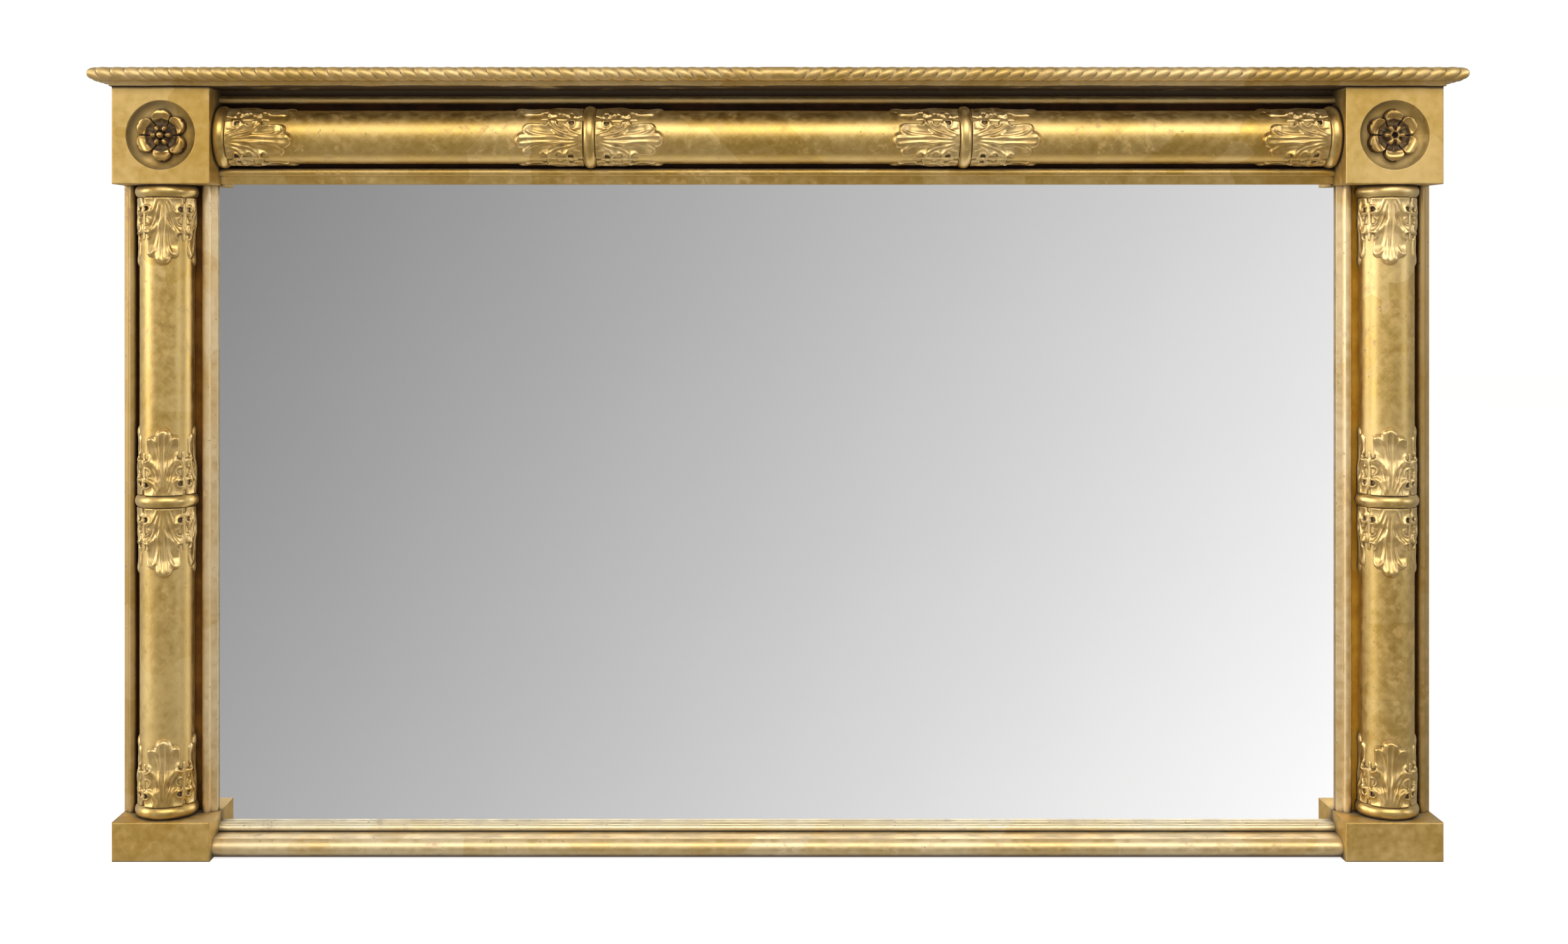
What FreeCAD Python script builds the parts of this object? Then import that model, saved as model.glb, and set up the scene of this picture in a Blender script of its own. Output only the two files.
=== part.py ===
import FreeCAD, Part
import math
import os

# Overmantel mirror with a gilded front: three applied columns, corner blocks with rosettes,
# plinths and a rope-edged cornice, all carried by a halved and pegged pine carcass.
# X runs along the wall, Z is up, and the front faces -Y. Depths count forwards from the
# back of the carcass, and heights of mouldings and columns count forwards from its front.

Vector = FreeCAD.Vector

# Driving dimensions in millimetres: the frame as a whole
frame_width = 1334.0
frame_height = 777.0
foot_relief = 0.5

# The carcass, its halved joints and pegs
carcass_thickness = 26.0
glass_lip = 8.0
board_ledge = 10.0
peg_radius = 4.0
fixing_offset = 22.0

# Blocks, plinths, roundels and rosettes
block_thickness = 48.0
plinth_height = 39.5
edge_softening = 1.2
roundel_radius = 34.8
roundel_depth = 9.0
rosette_margin = 0.8
rosette_hub_radius = 9.0
rosette_hub_thickness = 3.0
petal_count = 6
petal_thickness = 8.0
inner_petal_reach = 15.0
inner_petal_thickness = 13.0
bead_radius = 3.2
bead_hole_depth = 5.0

# Mouldings on the carcass front
moulding_height = 12.0
fillet_fall = 3.0
outer_fillet_width = 5.0
outer_reed_width = 8.0
sight_fillet_width = 6.0
sight_reed_width = 9.0
frieze_fillet_width = 8.0
frieze_reed_width = 8.0
cove_width = 8.0
cove_reed_width = 6.0
bottom_fillet_width = 1.6
bottom_reed_width = 7.0
torus_height = 19.5
torus_reach = 40.0

# Columns with their rings and leaf collars
column_radius = 27.0
column_axis_height = 13.0
ring_projection = 4.5
ring_bulge = 4.2
ring_width = 13.5
outer_ring_play = 1.5
sight_ring_play = 2.5
cove_ring_play = 3.5
sight_rise = 1.5
sight_setback = 3.0
leaf_length = 70.0
leaf_thickness = 4.0
leaf_rib_width = 2.4
leaf_rib_rise = 0.8
leaf_rib_length = 56.0
leaf_collar_height = 9.0
leaf_turn_degrees = 92.0
left_leaf_lean_degrees = 7.0
right_leaf_lean_degrees = -14.0
frieze_leaf_lean_degrees = 9.0

# Cornice and rope strip
cornice_height = 18.0
cornice_fillet_height = 4.0
cornice_fillet_overhang = 2.0
cornice_board_overhang = 8.0
rope_radius = 7.0
rope_centre_height = 4.0

# Mirror plate, its bearers and the backboards
glass_thickness = 5.0
glass_play = 1.5
bearer_length = 60.0
bearer_width = 12.0
backboard_thickness = 7.0
backboard_play = 0.5
backboard_gap = 0.8

# Fasteners
screw_radius = 2.0
screw_head_radius = 4.0
screw_bite = 14.0
screw_slot_width = 0.9
screw_slot_depth = 1.0
hanger_screw_radius = 1.7
hanger_screw_head_radius = 3.2
hanger_screw_cover = 7.6
nail_radius = 1.0
nail_bite = 11.0
nail_head_radius = 2.5
nail_head_thickness = 0.8

# Strap hangers with their swinging rings
hanger_below_top = 137.0
strap_width = 16.0
strap_length = 52.0
strap_thickness = 1.6
ring_wire_radius = 2.0
ring_inner_width = 26.0
ring_arm_length = 12.0
ring_bend_radius = 4.0
pivot_clearance = 0.35

# Fits: the gap between curved faces that seat on each other, and the overrun of cuts
seat_gap = 0.05
overrun = 5.0

# Places chosen as shares of what they follow
leaf_half_width_share = 0.66
lobe_notch_shares = ((1.0, 0.0), (0.9, 0.3), (0.76, 0.56), (0.46, 0.8))
lobe_bulge_shares = ((1.0, 0.16), (0.96, 0.46), (0.76, 0.72))
column_screw_shares = (0.12, 0.45, 0.75)
frieze_screw_shares = (-0.4, -0.13, 0.13, 0.4)
cornice_screw_shares = (-0.42, -0.21, 0.0, 0.21, 0.42)
upright_bearer_shares = (0.15, 0.5, 0.85)
level_bearer_shares = (-0.38, -0.13, 0.13, 0.38)
board_nail_shares = (0.2, 0.8)
rail_nail_shares = (-0.32, 0.0, 0.32)
strap_screw_shares = (0.3, 0.8)
petal_root_share = 0.25
petal_shoulder_share = 0.66
petal_half_width_share = 0.44

# Sizes that follow from the driving dimensions
ring_radius = column_radius + ring_projection
outer_moulding_width = outer_fillet_width + outer_reed_width
sight_moulding_width = sight_fillet_width + sight_reed_width
cove_moulding_width = cove_width + cove_reed_width
frieze_moulding_width = frieze_fillet_width + frieze_reed_width
column_inset = outer_moulding_width + outer_ring_play + ring_radius
member_width = column_inset + ring_radius + sight_ring_play + sight_moulding_width + sight_setback
frieze_drop = cove_moulding_width + cove_ring_play + ring_radius
block_height = frieze_drop + ring_radius + frieze_moulding_width + sight_rise
half_frame = frame_width / 2
half_span = half_frame - member_width
half_sight = half_span + sight_setback
half_opening = half_sight + glass_lip
half_ledge = half_opening + board_ledge
block_centre_x = half_frame - member_width / 2
column_x = half_frame - column_inset
block_bottom = frame_height - block_height
block_middle = frame_height - block_height / 2
frieze_z = frame_height - frieze_drop
block_front = carcass_thickness + block_thickness
torus_top = foot_relief + torus_height
sight_bottom = torus_top + bottom_fillet_width + bottom_reed_width
sight_top = block_bottom + sight_rise
opening_bottom = sight_bottom - glass_lip
opening_top = sight_top + glass_lip
ledge_bottom = opening_bottom - board_ledge
ledge_top = opening_top + board_ledge
opening_height = opening_top - opening_bottom
board_middle = (ledge_bottom + ledge_top) / 2
lap_thickness = carcass_thickness / 2
frieze_ring_spacing = 2 * half_span / 3
leaf_half_width = column_radius * leaf_half_width_share
rosette_radius = roundel_radius - roundel_depth - rosette_margin
screw_length = carcass_thickness + screw_bite
hanger_screw_length = strap_thickness + carcass_thickness - hanger_screw_cover
nail_length = backboard_thickness + nail_bite
barrel_bore = ring_wire_radius + pivot_clearance
barrel_radius = barrel_bore + strap_thickness
hanger_z = frame_height - hanger_below_top
cornice_top = frame_height + cornice_height
cornice_reach = cornice_board_overhang + rope_centre_height + rope_radius
front_reach = block_front + cornice_reach
hanger_reach = 2 * barrel_radius
back_y = (front_reach - hanger_reach) / 2
column_axis_depth = carcass_thickness + column_axis_height

upward = Vector(0, 0, 1)
forward = Vector(0, -1, 0)
sideways = Vector(1, 0, 0)
hands = (("left", -1), ("right", 1))
nodes = {}


def at(x, depth, z):
    """Point at a depth in front of the carcass back."""
    return Vector(x, back_y - depth, z)


def slab(x_range, depth_range, z_range):
    """Box between two places along each direction, given in either order."""
    x_low, x_high = sorted(x_range)
    depth_low, depth_high = sorted(depth_range)
    z_low, z_high = sorted(z_range)
    size = (x_high - x_low, depth_high - depth_low, z_high - z_low)
    return Part.makeBox(*size, at(x_low, depth_high, z_low))


def outline_face(corners, place):
    """Face inside a closed outline. A corner that holds two points is an arc: its middle and end."""
    edges = []
    here = corners[0]
    for corner in corners[1:] + corners[:1]:
        if isinstance(corner[0], tuple):
            middle, end = corner
            edges.append(Part.Arc(place(*here), place(*middle), place(*end)).toShape())
        else:
            end = corner
            edges.append(Part.LineSegment(place(*here), place(*end)).toShape())
        here = end
    return Part.Face(Part.Wire(edges))


def fused(shapes):
    """One solid from touching shapes."""
    first, *others = shapes
    return first.multiFuse(others).removeSplitter() if others else first


def turned(shape, axis, degrees):
    """Copy of a shape turned about an axis through the origin."""
    copy = shape.copy()
    copy.rotate(Vector(0, 0, 0), axis, degrees)
    return copy


def moved(shape, place):
    """Copy of a shape moved by a vector."""
    copy = shape.copy()
    copy.translate(place)
    return copy


def aimed(shape, place, direction):
    """Copy of a shape made along +Z, set at a place and aimed along a direction."""
    copy = shape.copy()
    copy.Placement = FreeCAD.Placement(place, FreeCAD.Rotation(upward, direction))
    return copy


def reeded_profile(fillet_width, reed_width):
    """Sloping fillet and half-round reed, in distance from the fillet's edge and height."""
    reed_radius = reed_width / 2
    shoulder = moulding_height - reed_radius
    width = fillet_width + reed_width
    reed = ((fillet_width + reed_radius, moulding_height), (width, shoulder))
    return [(0, 0), (0, shoulder - fillet_fall), (fillet_width, shoulder), reed, (width, 0)]


def coved_profile():
    """Hollow cove under the cornice, with a reed at its lower edge."""
    reed_radius = cove_reed_width / 2
    shoulder = moulding_height - reed_radius
    width = cove_width + cove_reed_width
    slant = cove_width * math.sqrt(0.5)
    cove = ((slant, shoulder - slant), (cove_width, shoulder))
    reed = ((cove_width + reed_radius, moulding_height), (width, shoulder))
    return [(0, 0), (0, shoulder - cove_width), cove, reed, (width, 0)]


def flat_backed_round(radius, centre_height):
    """Round bar cut flat behind its centre, in distance from its middle and height."""
    half_chord = math.sqrt(radius ** 2 - centre_height ** 2)
    return [(-half_chord, 0), ((0, centre_height + radius), (half_chord, 0))]


def upright_run(profile, side, edge_x, inwards, z_range):
    """Moulding that stands against a stile, its profile counted from the edge at edge_x."""
    bottom, top = z_range

    def place(across, height):
        return at(side * (edge_x + inwards * across), carcass_thickness + height, bottom)

    return outline_face(profile, place).extrude(upward * (top - bottom))


def level_run(profile, edge_z, rising):
    """Moulding that runs between the blocks or plinths, its profile counted from edge_z."""

    def place(across, height):
        return at(-half_span, carcass_thickness + height, edge_z + rising * across)

    return outline_face(profile, place).extrude(sideways * (2 * half_span))


# Fasteners along +Z with the head's outer face at the origin

def screw(radius, head_radius, length):
    """Countersunk wood screw with a slotted head."""
    shank = Part.makeCylinder(radius, length)
    head = Part.makeCone(head_radius, radius, head_radius - radius)
    slot_start = Vector(-head_radius, -screw_slot_width / 2, 0)
    slot = Part.makeBox(2 * head_radius, screw_slot_width, screw_slot_depth, slot_start)
    return shank.fuse(head).removeSplitter().cut(slot)


def screw_hole(radius, head_radius, length):
    """Room for a screw, wider than it by the seat gap."""
    shank = Part.makeCylinder(radius + seat_gap, length + seat_gap)
    head = Part.makeCone(head_radius + seat_gap, radius + seat_gap, head_radius - radius)
    return shank.fuse(head)


def placed_set(shape, spots):
    """Compound of a fastener or its hole at each spot, a place and a direction."""
    return Part.makeCompound([aimed(shape, place, direction) for place, direction in spots])


def frame_screw_spots():
    """Screws from behind into columns, blocks and plinths, and from above through the cornice."""
    spots = []
    plinth_screw_z = (opening_bottom + plinth_height) / 2
    for name, side in hands:
        for share in column_screw_shares:
            z = plinth_height + share * (block_bottom - plinth_height)
            spots.append((at(side * column_x, 0, z), forward))
        for step in (-1, 1):
            x = block_centre_x + step * fixing_offset
            spots.append((at(side * x, 0, block_middle - step * fixing_offset), forward))
            spots.append((at(side * x, 0, plinth_screw_z), forward))
    for share in frieze_screw_shares:
        spots.append((at(share * 2 * half_span, 0, frieze_z), forward))
    for share in cornice_screw_shares:
        place = at(share * 2 * half_span, carcass_thickness / 2, cornice_top)
        spots.append((place, -upward))
    return spots


def hanger_screw_spots():
    """Two screws through each strap, their heads flush with its back."""
    spots = []
    for name, side in hands:
        for share in strap_screw_shares:
            z = hanger_z - share * strap_length
            spots.append((at(side * column_x, -strap_thickness, z), forward))
    return spots


def nail_spots():
    """Nails through the backboards into the ledges of the carcass."""
    spots = []
    nail_inset = board_ledge / 2
    for name, side in hands:
        for low, high in ((ledge_bottom, board_middle), (board_middle, ledge_top)):
            for share in board_nail_shares:
                z = low + share * (high - low)
                spots.append((at(side * (half_opening + nail_inset), 0, z), forward))
    for share in rail_nail_shares:
        for z in (ledge_bottom + nail_inset, ledge_top - nail_inset):
            spots.append((at(share * 2 * half_opening, 0, z), forward))
    return spots


def peg_spots():
    """Two pegs through each halved corner."""
    spots = []
    lap_middle = (foot_relief + opening_bottom) / 2
    for name, side in hands:
        for step in (-1, 1):
            x = side * (block_centre_x + step * fixing_offset)
            spots.append((at(x, 0, block_middle + step * fixing_offset), forward))
            spots.append((at(x, 0, lap_middle), forward))
    return spots


frame_screw_holes = placed_set(screw_hole(screw_radius, screw_head_radius, screw_length), frame_screw_spots())
hanger_screw_holes = placed_set(
    screw_hole(hanger_screw_radius, hanger_screw_head_radius, hanger_screw_length), hanger_screw_spots())
nail_holes = placed_set(Part.makeCylinder(nail_radius + seat_gap, nail_length + seat_gap), nail_spots())
peg_holes = placed_set(Part.makeCylinder(peg_radius + seat_gap, carcass_thickness), peg_spots())


# Carcass

board_recess = slab((-half_ledge, half_ledge), (0, backboard_thickness), (ledge_bottom, ledge_top))


def stile(side):
    """Upright of the carcass, halved at both ends to take the rails' laps."""
    body = slab((side * half_opening, side * half_frame), (0, carcass_thickness), (0, frame_height))
    lap_x = (side * (half_opening - overrun), side * (half_frame + overrun))
    bottom_lap = slab(lap_x, (-overrun, lap_thickness), (-overrun, opening_bottom))
    top_lap = slab(lap_x, (-overrun, lap_thickness), (opening_top, frame_height + overrun))
    for cut in (bottom_lap, top_lap, board_recess, frame_screw_holes, hanger_screw_holes):
        body = body.cut(cut)
    return body.cut(nail_holes).cut(peg_holes)


def rail(bottom, top):
    """Rail between the stiles, with a half-thickness lap over each of them."""
    middle = slab((-half_opening, half_opening), (0, carcass_thickness), (bottom, top))
    laps = slab((-half_frame, half_frame), (0, lap_thickness), (bottom, top))
    body = fused([middle, laps])
    for cut in (board_recess, frame_screw_holes, nail_holes, peg_holes):
        body = body.cut(cut)
    return body


for name, side in hands:
    nodes[f"{name}_stile"] = stile(side)
nodes["top_rail"] = rail(opening_top, frame_height)
nodes["bottom_rail"] = rail(foot_relief, opening_bottom)
nodes["corner_pegs"] = placed_set(Part.makeCylinder(peg_radius, carcass_thickness), peg_spots())


# Mouldings

upright_range = (plinth_height, block_bottom)
for name, side in hands:
    outer_profile = reeded_profile(outer_fillet_width, outer_reed_width)
    sight_profile = reeded_profile(sight_fillet_width, sight_reed_width)
    nodes[f"{name}_outer_moulding"] = upright_run(outer_profile, side, half_frame, -1, upright_range)
    nodes[f"{name}_sight_moulding"] = upright_run(sight_profile, side, half_sight, 1, upright_range)
nodes["frieze_cove_moulding"] = level_run(coved_profile(), frame_height, -1)
frieze_profile = reeded_profile(frieze_fillet_width, frieze_reed_width)
nodes["frieze_sight_moulding"] = level_run(frieze_profile, sight_top, 1)
bottom_profile = reeded_profile(bottom_fillet_width, bottom_reed_width)
nodes["bottom_sight_moulding"] = level_run(bottom_profile, sight_bottom, -1)
torus_radius = torus_height / 2
torus_neck = torus_reach - torus_radius
torus_nose = ((torus_radius, torus_reach), (torus_height, torus_neck))
torus_profile = [(0, 0), (0, torus_neck), torus_nose, (torus_height, 0)]
nodes["bottom_torus"] = level_run(torus_profile, foot_relief, 1)


# Columns

column_profile = flat_backed_round(column_radius, column_axis_height)
for name, side in hands:
    column = upright_run(column_profile, side, column_x, 1, upright_range)
    nodes[f"{name}_column"] = column.cut(frame_screw_holes)
nodes["frieze_column"] = level_run(column_profile, frieze_z, 1).cut(frame_screw_holes)


# Rings and leaf collars about a +Z axis at the origin, cut flat where they meet the carcass

def carcass_side(height):
    """Everything behind the carcass front, for work made about the origin."""
    reach = ring_radius + overrun
    return Part.makeBox(2 * reach, reach, height, Vector(-reach, column_axis_height, 0))


def column_ring():
    """Rounded ring that clasps a column."""
    bore = column_radius + seat_gap
    shoulder = ring_radius - ring_bulge
    bulge = ((ring_radius, ring_width / 2), (shoulder, ring_width))
    corners = [(bore, 0), (shoulder, 0), bulge, (bore, ring_width)]
    face = outline_face(corners, lambda across, along: Vector(across, 0, along))
    return face.revolve(Vector(0, 0, 0), upward, 360).cut(carcass_side(ring_width))


def leaf_face():
    """Lobed leaf, seen from the front, with its base on the X axis and its tip up."""

    def point(share, side):
        return (side * share[0] * leaf_half_width, share[1] * leaf_length)

    right_side = []
    for bulge, notch in zip(lobe_bulge_shares, lobe_notch_shares[1:]):
        right_side.append((point(bulge, 1), point(notch, 1)))
    tip = ((0, leaf_length), point(lobe_notch_shares[-1], -1))
    left_side = []
    for bulge, notch in zip(lobe_bulge_shares[::-1], lobe_notch_shares[-2::-1]):
        left_side.append((point(bulge, -1), point(notch, -1)))
    corners = [point(lobe_notch_shares[0], 1)] + right_side + [tip] + left_side
    return outline_face(corners, lambda across, along: Vector(across, 0, along))


def column_shell(outer_radius, height):
    """Tube that fits over a column."""
    outside = Part.makeCylinder(outer_radius, height)
    return outside.cut(Part.makeCylinder(column_radius + seat_gap, height))


def leaf_collar(lean):
    """Collar with a front leaf, turned by a small lean, and two side leaves that lap round the column."""
    leaf_radius = column_radius + leaf_thickness
    rib_radius = leaf_radius + leaf_rib_rise
    leaf_reach = forward * (rib_radius + overrun)
    leaf = leaf_face().extrude(leaf_reach)
    rib_start = Vector(-leaf_rib_width / 2, -rib_radius - overrun, 0)
    rib = Part.makeBox(leaf_rib_width, rib_radius + overrun, leaf_rib_length, rib_start)
    turns = (lean - leaf_turn_degrees, lean, lean + leaf_turn_degrees)
    collar = column_shell(leaf_radius, leaf_collar_height)
    leaves = [turned(leaf, upward, turn).common(column_shell(leaf_radius, leaf_length)) for turn in turns]
    ribs = [turned(rib, upward, turn).common(column_shell(rib_radius, leaf_length)) for turn in turns]
    return fused([collar] + leaves + ribs).cut(carcass_side(leaf_length))


ring_shape = column_ring()
front_axis = Vector(0, 1, 0)


def on_column(shape, side, z, rising):
    """Ring or collar on an upright column, growing up or down from z."""
    turn = 0 if rising > 0 else 180
    return moved(turned(shape, front_axis, turn), at(side * column_x, column_axis_depth, z))


def on_frieze(shape, x, growing):
    """Ring or collar on the frieze column, growing to the right or left from x."""
    return moved(turned(shape, front_axis, growing * 90), at(x, column_axis_depth, frieze_z))


collar_shapes = {}


def shared_collar(lean):
    """Leaf collar for a lean, worked out once and used for every place that needs it."""
    if lean not in collar_shapes:
        collar_shapes[lean] = leaf_collar(lean)
    return collar_shapes[lean]


def column_leaves(side, z, rising):
    """Leaf collar on an upright column, its front leaf leaning towards the mirror plate."""
    lean = left_leaf_lean_degrees if side < 0 else right_leaf_lean_degrees
    return on_column(shared_collar(rising * lean), side, z, rising)


def frieze_leaves(x, growing):
    """Leaf collar on the frieze column, its front leaf leaning downwards."""
    return on_frieze(shared_collar(growing * frieze_leaf_lean_degrees), x, growing)


column_middle = (plinth_height + block_bottom) / 2
middle_ring_bottom = column_middle - ring_width / 2
middle_ring_top = column_middle + ring_width / 2
for name, side in hands:
    nodes[f"{name}_base_ring"] = on_column(ring_shape, side, plinth_height, 1)
    nodes[f"{name}_middle_ring"] = on_column(ring_shape, side, middle_ring_bottom, 1)
    nodes[f"{name}_neck_ring"] = on_column(ring_shape, side, block_bottom, -1)
    nodes[f"{name}_base_leaves"] = column_leaves(side, plinth_height + ring_width, 1)
    nodes[f"{name}_lower_leaves"] = column_leaves(side, middle_ring_bottom, -1)
    nodes[f"{name}_upper_leaves"] = column_leaves(side, middle_ring_top, 1)
    nodes[f"{name}_neck_leaves"] = column_leaves(side, block_bottom - ring_width, -1)
    ring_start = side * (frieze_ring_spacing - ring_width) / 2
    ring_end = side * (frieze_ring_spacing + ring_width) / 2
    end_ring_start = side * (half_span - ring_width)
    nodes[f"frieze_{name}_end_ring"] = on_frieze(ring_shape, end_ring_start, side)
    nodes[f"frieze_{name}_ring"] = on_frieze(ring_shape, ring_start, side)
    nodes[f"frieze_{name}_end_leaves"] = frieze_leaves(end_ring_start, -side)
    nodes[f"frieze_{name}_outer_leaves"] = frieze_leaves(ring_end, side)
    nodes[f"frieze_{name}_inner_leaves"] = frieze_leaves(ring_start, -side)


# Corner blocks, rosettes and plinths

def softened(body):
    """Body with its front edges rounded off."""
    middle_y = body.BoundBox.Center.y
    edges = [edge for edge in body.Edges if all(corner.Y < middle_y for corner in edge.Vertexes)]
    return body.makeFillet(edge_softening, edges)


def roundel():
    """Room for a rosette: a flat floor with a coved wall, sunk along +Y from the origin."""
    floor_radius = roundel_radius - roundel_depth
    slant = roundel_depth * math.sqrt(0.5)
    cove = ((floor_radius + slant, slant), (floor_radius, roundel_depth))
    corners = [(0, -overrun), (roundel_radius, -overrun), (roundel_radius, 0), cove, (0, roundel_depth)]
    face = outline_face(corners, lambda radius, depth: Vector(radius, depth, 0))
    return face.revolve(Vector(0, 0, 0), front_axis, 360)


def petal(reach, thickness):
    """Rounded petal pointing along +Z, raised forwards from the XZ plane."""
    root = reach * petal_root_share
    shoulder = reach * petal_shoulder_share
    half_width = reach * petal_half_width_share
    half_root = half_width * petal_root_share
    tip = ((0, reach), (-half_width, shoulder))
    corners = [(half_root, root), (half_width, shoulder), tip, (-half_root, root)]
    face = outline_face(corners, lambda across, along: Vector(across, 0, along))
    return face.extrude(forward * thickness)


def rosette(has_bead):
    """Six-petalled flower with a ring of inner petals, and a bead or the hole that one left."""
    pieces = [Part.makeCylinder(rosette_hub_radius, rosette_hub_thickness, Vector(0, 0, 0), forward)]
    step = 360 / petal_count
    for index in range(petal_count):
        pieces.append(turned(petal(rosette_radius, petal_thickness), forward, index * step))
        inner = petal(inner_petal_reach, inner_petal_thickness)
        pieces.append(turned(inner, forward, (index + 0.5) * step))
    hub_reach = inner_petal_reach * petal_root_share + bead_radius
    pieces.append(Part.makeCylinder(hub_reach, inner_petal_thickness, Vector(0, 0, 0), forward))
    flower = fused(pieces)
    face_centre = forward * inner_petal_thickness
    if has_bead:
        bead_centre = face_centre - forward * (bead_radius / 2)
        return fused([flower, Part.makeSphere(bead_radius, bead_centre)])
    return flower.cut(Part.makeCylinder(bead_radius, bead_hole_depth, face_centre, -forward))


for name, side in hands:
    inner_x = side * half_span
    outer_x = side * half_frame
    depth_range = (carcass_thickness, block_front)
    block = slab((inner_x, outer_x), depth_range, (block_bottom, frame_height))
    block_face = at(side * block_centre_x, block_front, block_middle)
    block = softened(block).cut(moved(roundel(), block_face))
    nodes[f"{name}_corner_block"] = block.cut(frame_screw_holes)
    flower = rosette(has_bead=side < 0)
    nodes[f"{name}_rosette"] = moved(flower, block_face - forward * roundel_depth)
    plinth = softened(slab((inner_x, outer_x), depth_range, (0, plinth_height)))
    nodes[f"{name}_plinth"] = plinth.cut(frame_screw_holes)


# Cornice board and the rope strip round its edge

def overhanging_slab(overhang, z_range):
    """Board over the whole frame that overhangs its front and both ends."""
    reach = half_frame + overhang
    return slab((-reach, reach), (0, block_front + overhang), z_range)


def mitre_wedge(side, beside_front):
    """Prism on one side of the mitre line at a front corner of the cornice."""
    reach = cornice_reach + overrun
    corner = at(side * half_frame, block_front, frame_height)
    tip = corner + sideways * (side * reach) + forward * reach
    third = corner + (sideways * (side * reach) if beside_front else forward * reach)
    return Part.Face(Part.makePolygon([corner, tip, third, corner])).extrude(upward * cornice_height)


rope_z = cornice_top - rope_radius
rope_profile = flat_backed_round(rope_radius, rope_centre_height)


def front_rope():
    """Rope strip along the front, mitred at both ends."""
    reach = half_frame + cornice_reach

    def place(across, height):
        return at(-reach, block_front + cornice_board_overhang + height, rope_z + across)

    strip = outline_face(rope_profile, place).extrude(sideways * (2 * reach))
    return strip.cut(mitre_wedge(-1, True)).cut(mitre_wedge(1, True))


def end_rope(side):
    """Rope strip along one end, from the wall to the mitre."""

    def place(across, height):
        return at(side * (half_frame + cornice_board_overhang + height), 0, rope_z + across)

    strip = outline_face(rope_profile, place).extrude(forward * front_reach)
    return strip.cut(mitre_wedge(side, False))


fillet_top = frame_height + cornice_fillet_height
cornice_fillet = overhanging_slab(cornice_fillet_overhang, (frame_height, fillet_top))
cornice_cap = overhanging_slab(cornice_board_overhang, (fillet_top, cornice_top))
nodes["cornice_board"] = fused([cornice_fillet, cornice_cap]).cut(frame_screw_holes)
nodes["front_rope"] = front_rope()
for name, side in hands:
    nodes[f"{name}_end_rope"] = end_rope(side)


# Mirror plate, bearers and backboards

glass_back = carcass_thickness - glass_thickness
glass_half = half_opening - glass_play
glass_z = (opening_bottom + glass_play, opening_top - glass_play)
nodes["mirror_plate"] = slab((-glass_half, glass_half), (glass_back, carcass_thickness), glass_z)


def bearers():
    """Small blocks, glued round the opening, that hold the plate against the sight mouldings."""
    blocks = []
    depth_range = (backboard_thickness, glass_back)
    half_length = bearer_length / 2
    for name, side in hands:
        for share in upright_bearer_shares:
            z = opening_bottom + share * opening_height
            x_range = (side * (half_opening - bearer_width), side * half_opening)
            blocks.append(slab(x_range, depth_range, (z - half_length, z + half_length)))
    for share in level_bearer_shares:
        x = share * 2 * half_opening
        x_range = (x - half_length, x + half_length)
        blocks.append(slab(x_range, depth_range, (opening_bottom, opening_bottom + bearer_width)))
        blocks.append(slab(x_range, depth_range, (opening_top - bearer_width, opening_top)))
    return Part.makeCompound(blocks)


nodes["plate_bearers"] = bearers()
board_x = (backboard_play - half_ledge, half_ledge - backboard_play)
board_depths = (0, backboard_thickness)
lower_range = (ledge_bottom + backboard_play, board_middle - backboard_gap / 2)
upper_range = (board_middle + backboard_gap / 2, ledge_top - backboard_play)
nodes["lower_backboard"] = slab(board_x, board_depths, lower_range).cut(nail_holes)
nodes["upper_backboard"] = slab(board_x, board_depths, upper_range).cut(nail_holes)


# Fasteners and hangers

def nail():
    """Nail along +Z, its head standing on the surface at the origin."""
    head = Part.makeCylinder(nail_head_radius, nail_head_thickness, Vector(0, 0, -nail_head_thickness))
    return fused([head, Part.makeCylinder(nail_radius, nail_length)])


def hanger_strap(side):
    """Strap screwed to the back of a stile, rolled at the top into a barrel for the ring."""
    x_range = (side * column_x - strap_width / 2, side * column_x + strap_width / 2)
    plate = slab(x_range, (-strap_thickness, 0), (hanger_z - strap_length, hanger_z))
    barrel_start = at(x_range[0], -barrel_radius, hanger_z)
    barrel = Part.makeCylinder(barrel_radius, strap_width, barrel_start, sideways)
    bore = Part.makeCylinder(barrel_bore, strap_width, barrel_start, sideways)
    return fused([plate, barrel]).cut(bore).cut(hanger_screw_holes)


def hanging_ring(side):
    """D-shaped wire ring whose straight bar turns in the strap's barrel, hanging down."""
    half_width = ring_inner_width / 2 + ring_wire_radius
    bend = ring_bend_radius
    slant = bend * (1 - math.sqrt(0.5))
    bow_drop = ring_arm_length + half_width

    def place(across, drop):
        return at(side * column_x + across, -barrel_radius, hanger_z - drop)

    right_bend = ((half_width - slant, slant), (half_width, bend))
    bow = ((0, bow_drop), (-half_width, ring_arm_length))
    left_bend = ((slant - half_width, slant), (bend - half_width, 0))
    right_side = [(half_width - bend, 0), right_bend, (half_width, ring_arm_length)]
    left_side = [(-half_width, bend), left_bend]
    path = outline_face([(0, 0)] + right_side + [bow] + left_side, place).OuterWire
    section = Part.Wire(Part.makeCircle(ring_wire_radius, place(0, 0), sideways))
    return path.makePipeShell([section], True, False)


nodes["frame_screws"] = placed_set(screw(screw_radius, screw_head_radius, screw_length), frame_screw_spots())
nodes["hanger_screws"] = placed_set(
    screw(hanger_screw_radius, hanger_screw_head_radius, hanger_screw_length), hanger_screw_spots())
nodes["backboard_nails"] = placed_set(nail(), nail_spots())
nodes["hanger_straps"] = Part.makeCompound([hanger_strap(side) for name, side in hands])
for name, side in hands:
    nodes[f"{name}_hanging_ring"] = hanging_ring(side)

os.makedirs("parts", exist_ok=True)
for node_name, shape in nodes.items():
    shape.exportStep(f"parts/{node_name}.step")
print(len(nodes), "nodes written")
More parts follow.
